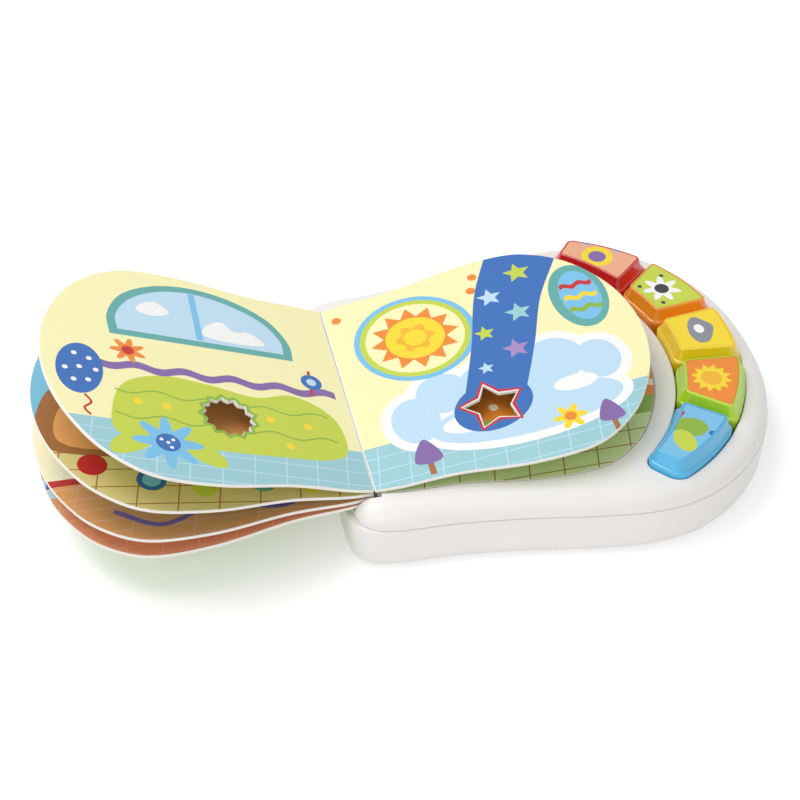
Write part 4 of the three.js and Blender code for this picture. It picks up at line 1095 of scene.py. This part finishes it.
class BOARDBOOK_OT_stage(bpy.types.Operator):
    """Adds the pale floor, soft studio lights and the camera"""

    bl_idname = "board_book.stage"
    bl_label = "Stage"

    def execute(self, context):
        floor = new_object("floor", [
            (x * FLOOR_REACH, y * FLOOR_REACH, FLOOR_LEVEL) for x, y in ((-1, -1), (1, -1), (1, 1), (-1, 1))
        ], [(0, 1, 2, 3)])
        wear(floor, studio_floor())
        context.scene.world = white_studio()

        for name, place, size, power in LAMPS:
            lamp = bpy.data.lights.new(name, "AREA")
            lamp.size = size
            lamp.energy = power
            holder = bpy.data.objects.new(name, lamp)
            holder.location = place
            holder.rotation_euler = (-Vector(place)).to_track_quat("-Z", "Y").to_euler()
            context.scene.collection.objects.link(holder)

        camera = bpy.data.cameras.new("photo_camera")
        camera.lens = CAMERA_LENS
        camera.sensor_width = 36
        holder = bpy.data.objects.new("photo_camera", camera)
        holder.location = CAMERA_PLACE
        holder.rotation_euler = [math.radians(angle) for angle in CAMERA_TURN]
        context.scene.collection.objects.link(holder)
        context.scene.camera = holder
        context.scene.view_settings.view_transform = "Standard"
        return {"FINISHED"}


class BOARDBOOK_OT_upper_shell(bpy.types.Operator):
    """Adds the upper shell, with the spine channel, the panel's recess and the button window"""

    bl_idname = "board_book.upper_shell"
    bl_label = "Upper shell"

    def execute(self, context):
        sizes = context.scene.board_book_sizes
        soft = sizes.mouth_softness / MM
        outline = base_outline(0, 0, sizes.outline_steps)
        rim = rounded_rings(
            outline, sizes.rim_reach / MM, TOP_HEIGHT, UPPER_BOTTOM + STRAIGHT_SIDE, 14)[::-1]
        foot = [(inset(outline, 0.5), UPPER_BOTTOM), (inset(outline, 0.15), UPPER_BOTTOM + 0.15),
                (outline, UPPER_BOTTOM + 0.5)]
        shell = loft("base_upper_shell", foot + rim)
        channel = np.array([
            (SPINE_END - FAR_PAST, -CHANNEL_HALF), (CHANNEL_END, -CHANNEL_HALF),
            (CHANNEL_END, CHANNEL_HALF), (SPINE_END - FAR_PAST, CHANNEL_HALF),
        ])
        panel = leaf_outline() + (HINGE_X + PANEL_SHIFT, 0)
        combine(shell, [
            upper_cavity(outline),
            mouth("channel", channel, CHANNEL_FLOOR, soft),
            mouth("recess", inset(panel, -PANEL_GAP), PANEL_BOX[0].z - GAP, soft),
            mouth("window", crescent(0, 5, -0.1, 60), UPPER_BOTTOM - FAR_PAST, soft),
        ])
        wear(shell, finish("shell"))
        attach(shell, "base")
        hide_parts("upper_shell")
        return {"FINISHED"}


class BOARDBOOK_OT_lower_shell(bpy.types.Operator):
    """Adds the lower shell, with the sound holes, screw wells, door seat and switch slot"""

    bl_idname = "board_book.lower_shell"
    bl_label = "Lower shell"

    def execute(self, context):
        steps = context.scene.board_book_sizes.outline_steps
        outline = base_outline(SPINE_LEDGE, LEDGE, steps)
        shell = loft("base_lower_shell", [
            *rounded_rings(outline, BOTTOM_ROUND, 0, BOTTOM_ROUND_HEIGHT, 10),
            (outline, SEAM_HEIGHT - SEAM_SOFTNESS), (inset(outline, 0.2), SEAM_HEIGHT - 0.2),
            (inset(outline, SEAM_SOFTNESS), SEAM_HEIGHT),
        ])
        places = [(HINGE_X + x, side * y) for x, y in SCREW_PLACES for side in (-1, 1)]
        combine(shell, [lower_hollow(outline, inset(base_outline(0, 0, steps), WALL))])
        combine(shell, [screw_bosses(outline, places)], "UNION")
        wells = [
            prism(f"well_{i}", circle(SCREW_HOLE_RADIUS, 32, x, y), -PAST, SCREW_SUNK)
            for i, (x, y) in enumerate(places)
        ]
        combine(shell, [*wells, *sound_holes(), *door_seat(), switch_slot()])
        wear(shell, finish("shell"))
        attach(shell, "base")
        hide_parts("lower_shell")
        return {"FINISHED"}


class BOARDBOOK_OT_leaves(bpy.types.Operator):
    """Adds the five turning leaves and the glued panel, printed on both faces"""

    bl_idname = "board_book.leaves"
    bl_label = "Leaves"

    def execute(self, context):
        gutter = context.scene.board_book_sizes.gutter / MM
        for index, (node, pages) in enumerate(PAGES.items()):
            side = -1 if node in LEFT_ANGLES else 1
            outline = leaf_outline()
            hole = burst(*LEAF_HOLES[node]) if node in LEAF_HOLES else None
            faces = []
            for _, design in pages:
                drawn = design() + [("white", rectangle(-3, -100, gutter, 100))]
                faces.append([(ink, shape * (side, 1)) for ink, shape in drawn])
            if side < 0:
                outline = (outline * (-1, 1))[::-1]
                hole = None if hole is None else (hole * (-1, 1))[::-1]
            grounds = [ground for ground, _ in pages]
            if node == "page_panel":
                high, thickness = PANEL_BOX[1].z - HINGE_Z, PANEL_BOX[1].z - PANEL_BOX[0].z
                turn, shift = 0, PANEL_SHIFT
            else:
                level = index if side < 0 else 0
                high, thickness = -LEAF_DROP - level * LEAF_PITCH, LEAF_PITCH - GAP
                turn, shift = LEFT_ANGLES.get(node, -RIGHT_ANGLE), 0
            board = printed_board(f"{node}_board", outline, hole, high - thickness, high, faces, grounds,
                                  finish("board_edge"))
            place = Vector((HINGE_X + shift, 0, HINGE_Z)) * MM
            board.matrix_world = Matrix.Translation(place) @ Matrix.Rotation(math.radians(turn), 4, "Y")
            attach(board, "base" if node == "page_panel" else node)
            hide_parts(node)
        return {"FINISHED"}


class BOARDBOOK_OT_buttons(bpy.types.Operator):
    """Adds the five button caps, their printed labels and the rubber domes under them"""

    bl_idname = "board_book.buttons"
    bl_label = "Sound buttons"

    def execute(self, context):
        slope = context.scene.board_book_sizes.cap_slope / MM
        for index, name in enumerate(BUTTONS):
            cap = button_cap(index, name, slope)
            wear(cap, finish("cap", name))
            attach(cap, f"button_{name}")
            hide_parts(f"button_cap_{name}")

            label = button_label(index, name)
            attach(label, f"button_{name}")
            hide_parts(f"button_label_{name}")

            low, high = box_mm(f"rubber_dome_{name}")
            foot = Vector(((low.x + high.x) / 2, (low.y + high.y) / 2, low.z))
            dome = rubber_dome(name, foot.x, foot.y, low.z, high.z)
            wear(dome, finish("silicone"))
            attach(dome, "base")
            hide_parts(f"rubber_dome_{name}")
            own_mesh(dome)
        return {"FINISHED"}


class BOARDBOOK_OT_fittings(bpy.types.Operator):
    """Gives the frame's own parts, inside and underneath, their finishes"""

    bl_idname = "board_book.fittings"
    bl_label = "Fittings"

    def execute(self, context):
        finishes = inner_finishes()
        finishes["spine_binding"] = binding_cloth()
        finishes["battery_door"] = finish("shell")
        for node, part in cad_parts.items():
            if part.hide_render:
                continue
            found = [start for start in finishes if node == start or node.startswith(start + "_")]
            if not found:
                raise RuntimeError(f"no finish is given for {node}")
            wear(part, finishes[max(found, key=len)])
        return {"FINISHED"}


class BOARDBOOK_PT_panel(bpy.types.Panel):
    bl_label = "Board Book"
    bl_idname = "BOARDBOOK_PT_panel"
    bl_space_type = "VIEW_3D"
    bl_region_type = "UI"
    bl_category = "Board Book"

    def draw(self, context):
        layout = self.layout
        for operator in OPERATORS:
            layout.operator(operator.bl_idname)
        for group in (context.scene.board_book_sizes, context.scene.board_book_colours):
            for key in group.bl_rna.properties.keys():
                if key not in ("rna_type", "name"):
                    layout.prop(group, key)


OPERATORS = (
    BOARDBOOK_OT_stage, BOARDBOOK_OT_upper_shell, BOARDBOOK_OT_lower_shell, BOARDBOOK_OT_leaves,
    BOARDBOOK_OT_buttons, BOARDBOOK_OT_fittings,
)
CLASSES = (BoardBookSizes, BoardBookColours, *OPERATORS, BOARDBOOK_PT_panel)


def register():
    for made in CLASSES:
        bpy.utils.register_class(made)
    bpy.types.Scene.board_book_sizes = bpy.props.PointerProperty(type=BoardBookSizes)
    bpy.types.Scene.board_book_colours = bpy.props.PointerProperty(type=BoardBookColours)


def unregister():
    del bpy.types.Scene.board_book_colours
    del bpy.types.Scene.board_book_sizes
    for made in reversed(CLASSES):
        bpy.utils.unregister_class(made)


def main():
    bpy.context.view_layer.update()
    register()
    bpy.ops.board_book.stage()
    bpy.ops.board_book.upper_shell()
    bpy.ops.board_book.lower_shell()
    bpy.ops.board_book.leaves()
    bpy.ops.board_book.buttons()
    bpy.ops.board_book.fittings()


if __name__ == "__main__":
    main()
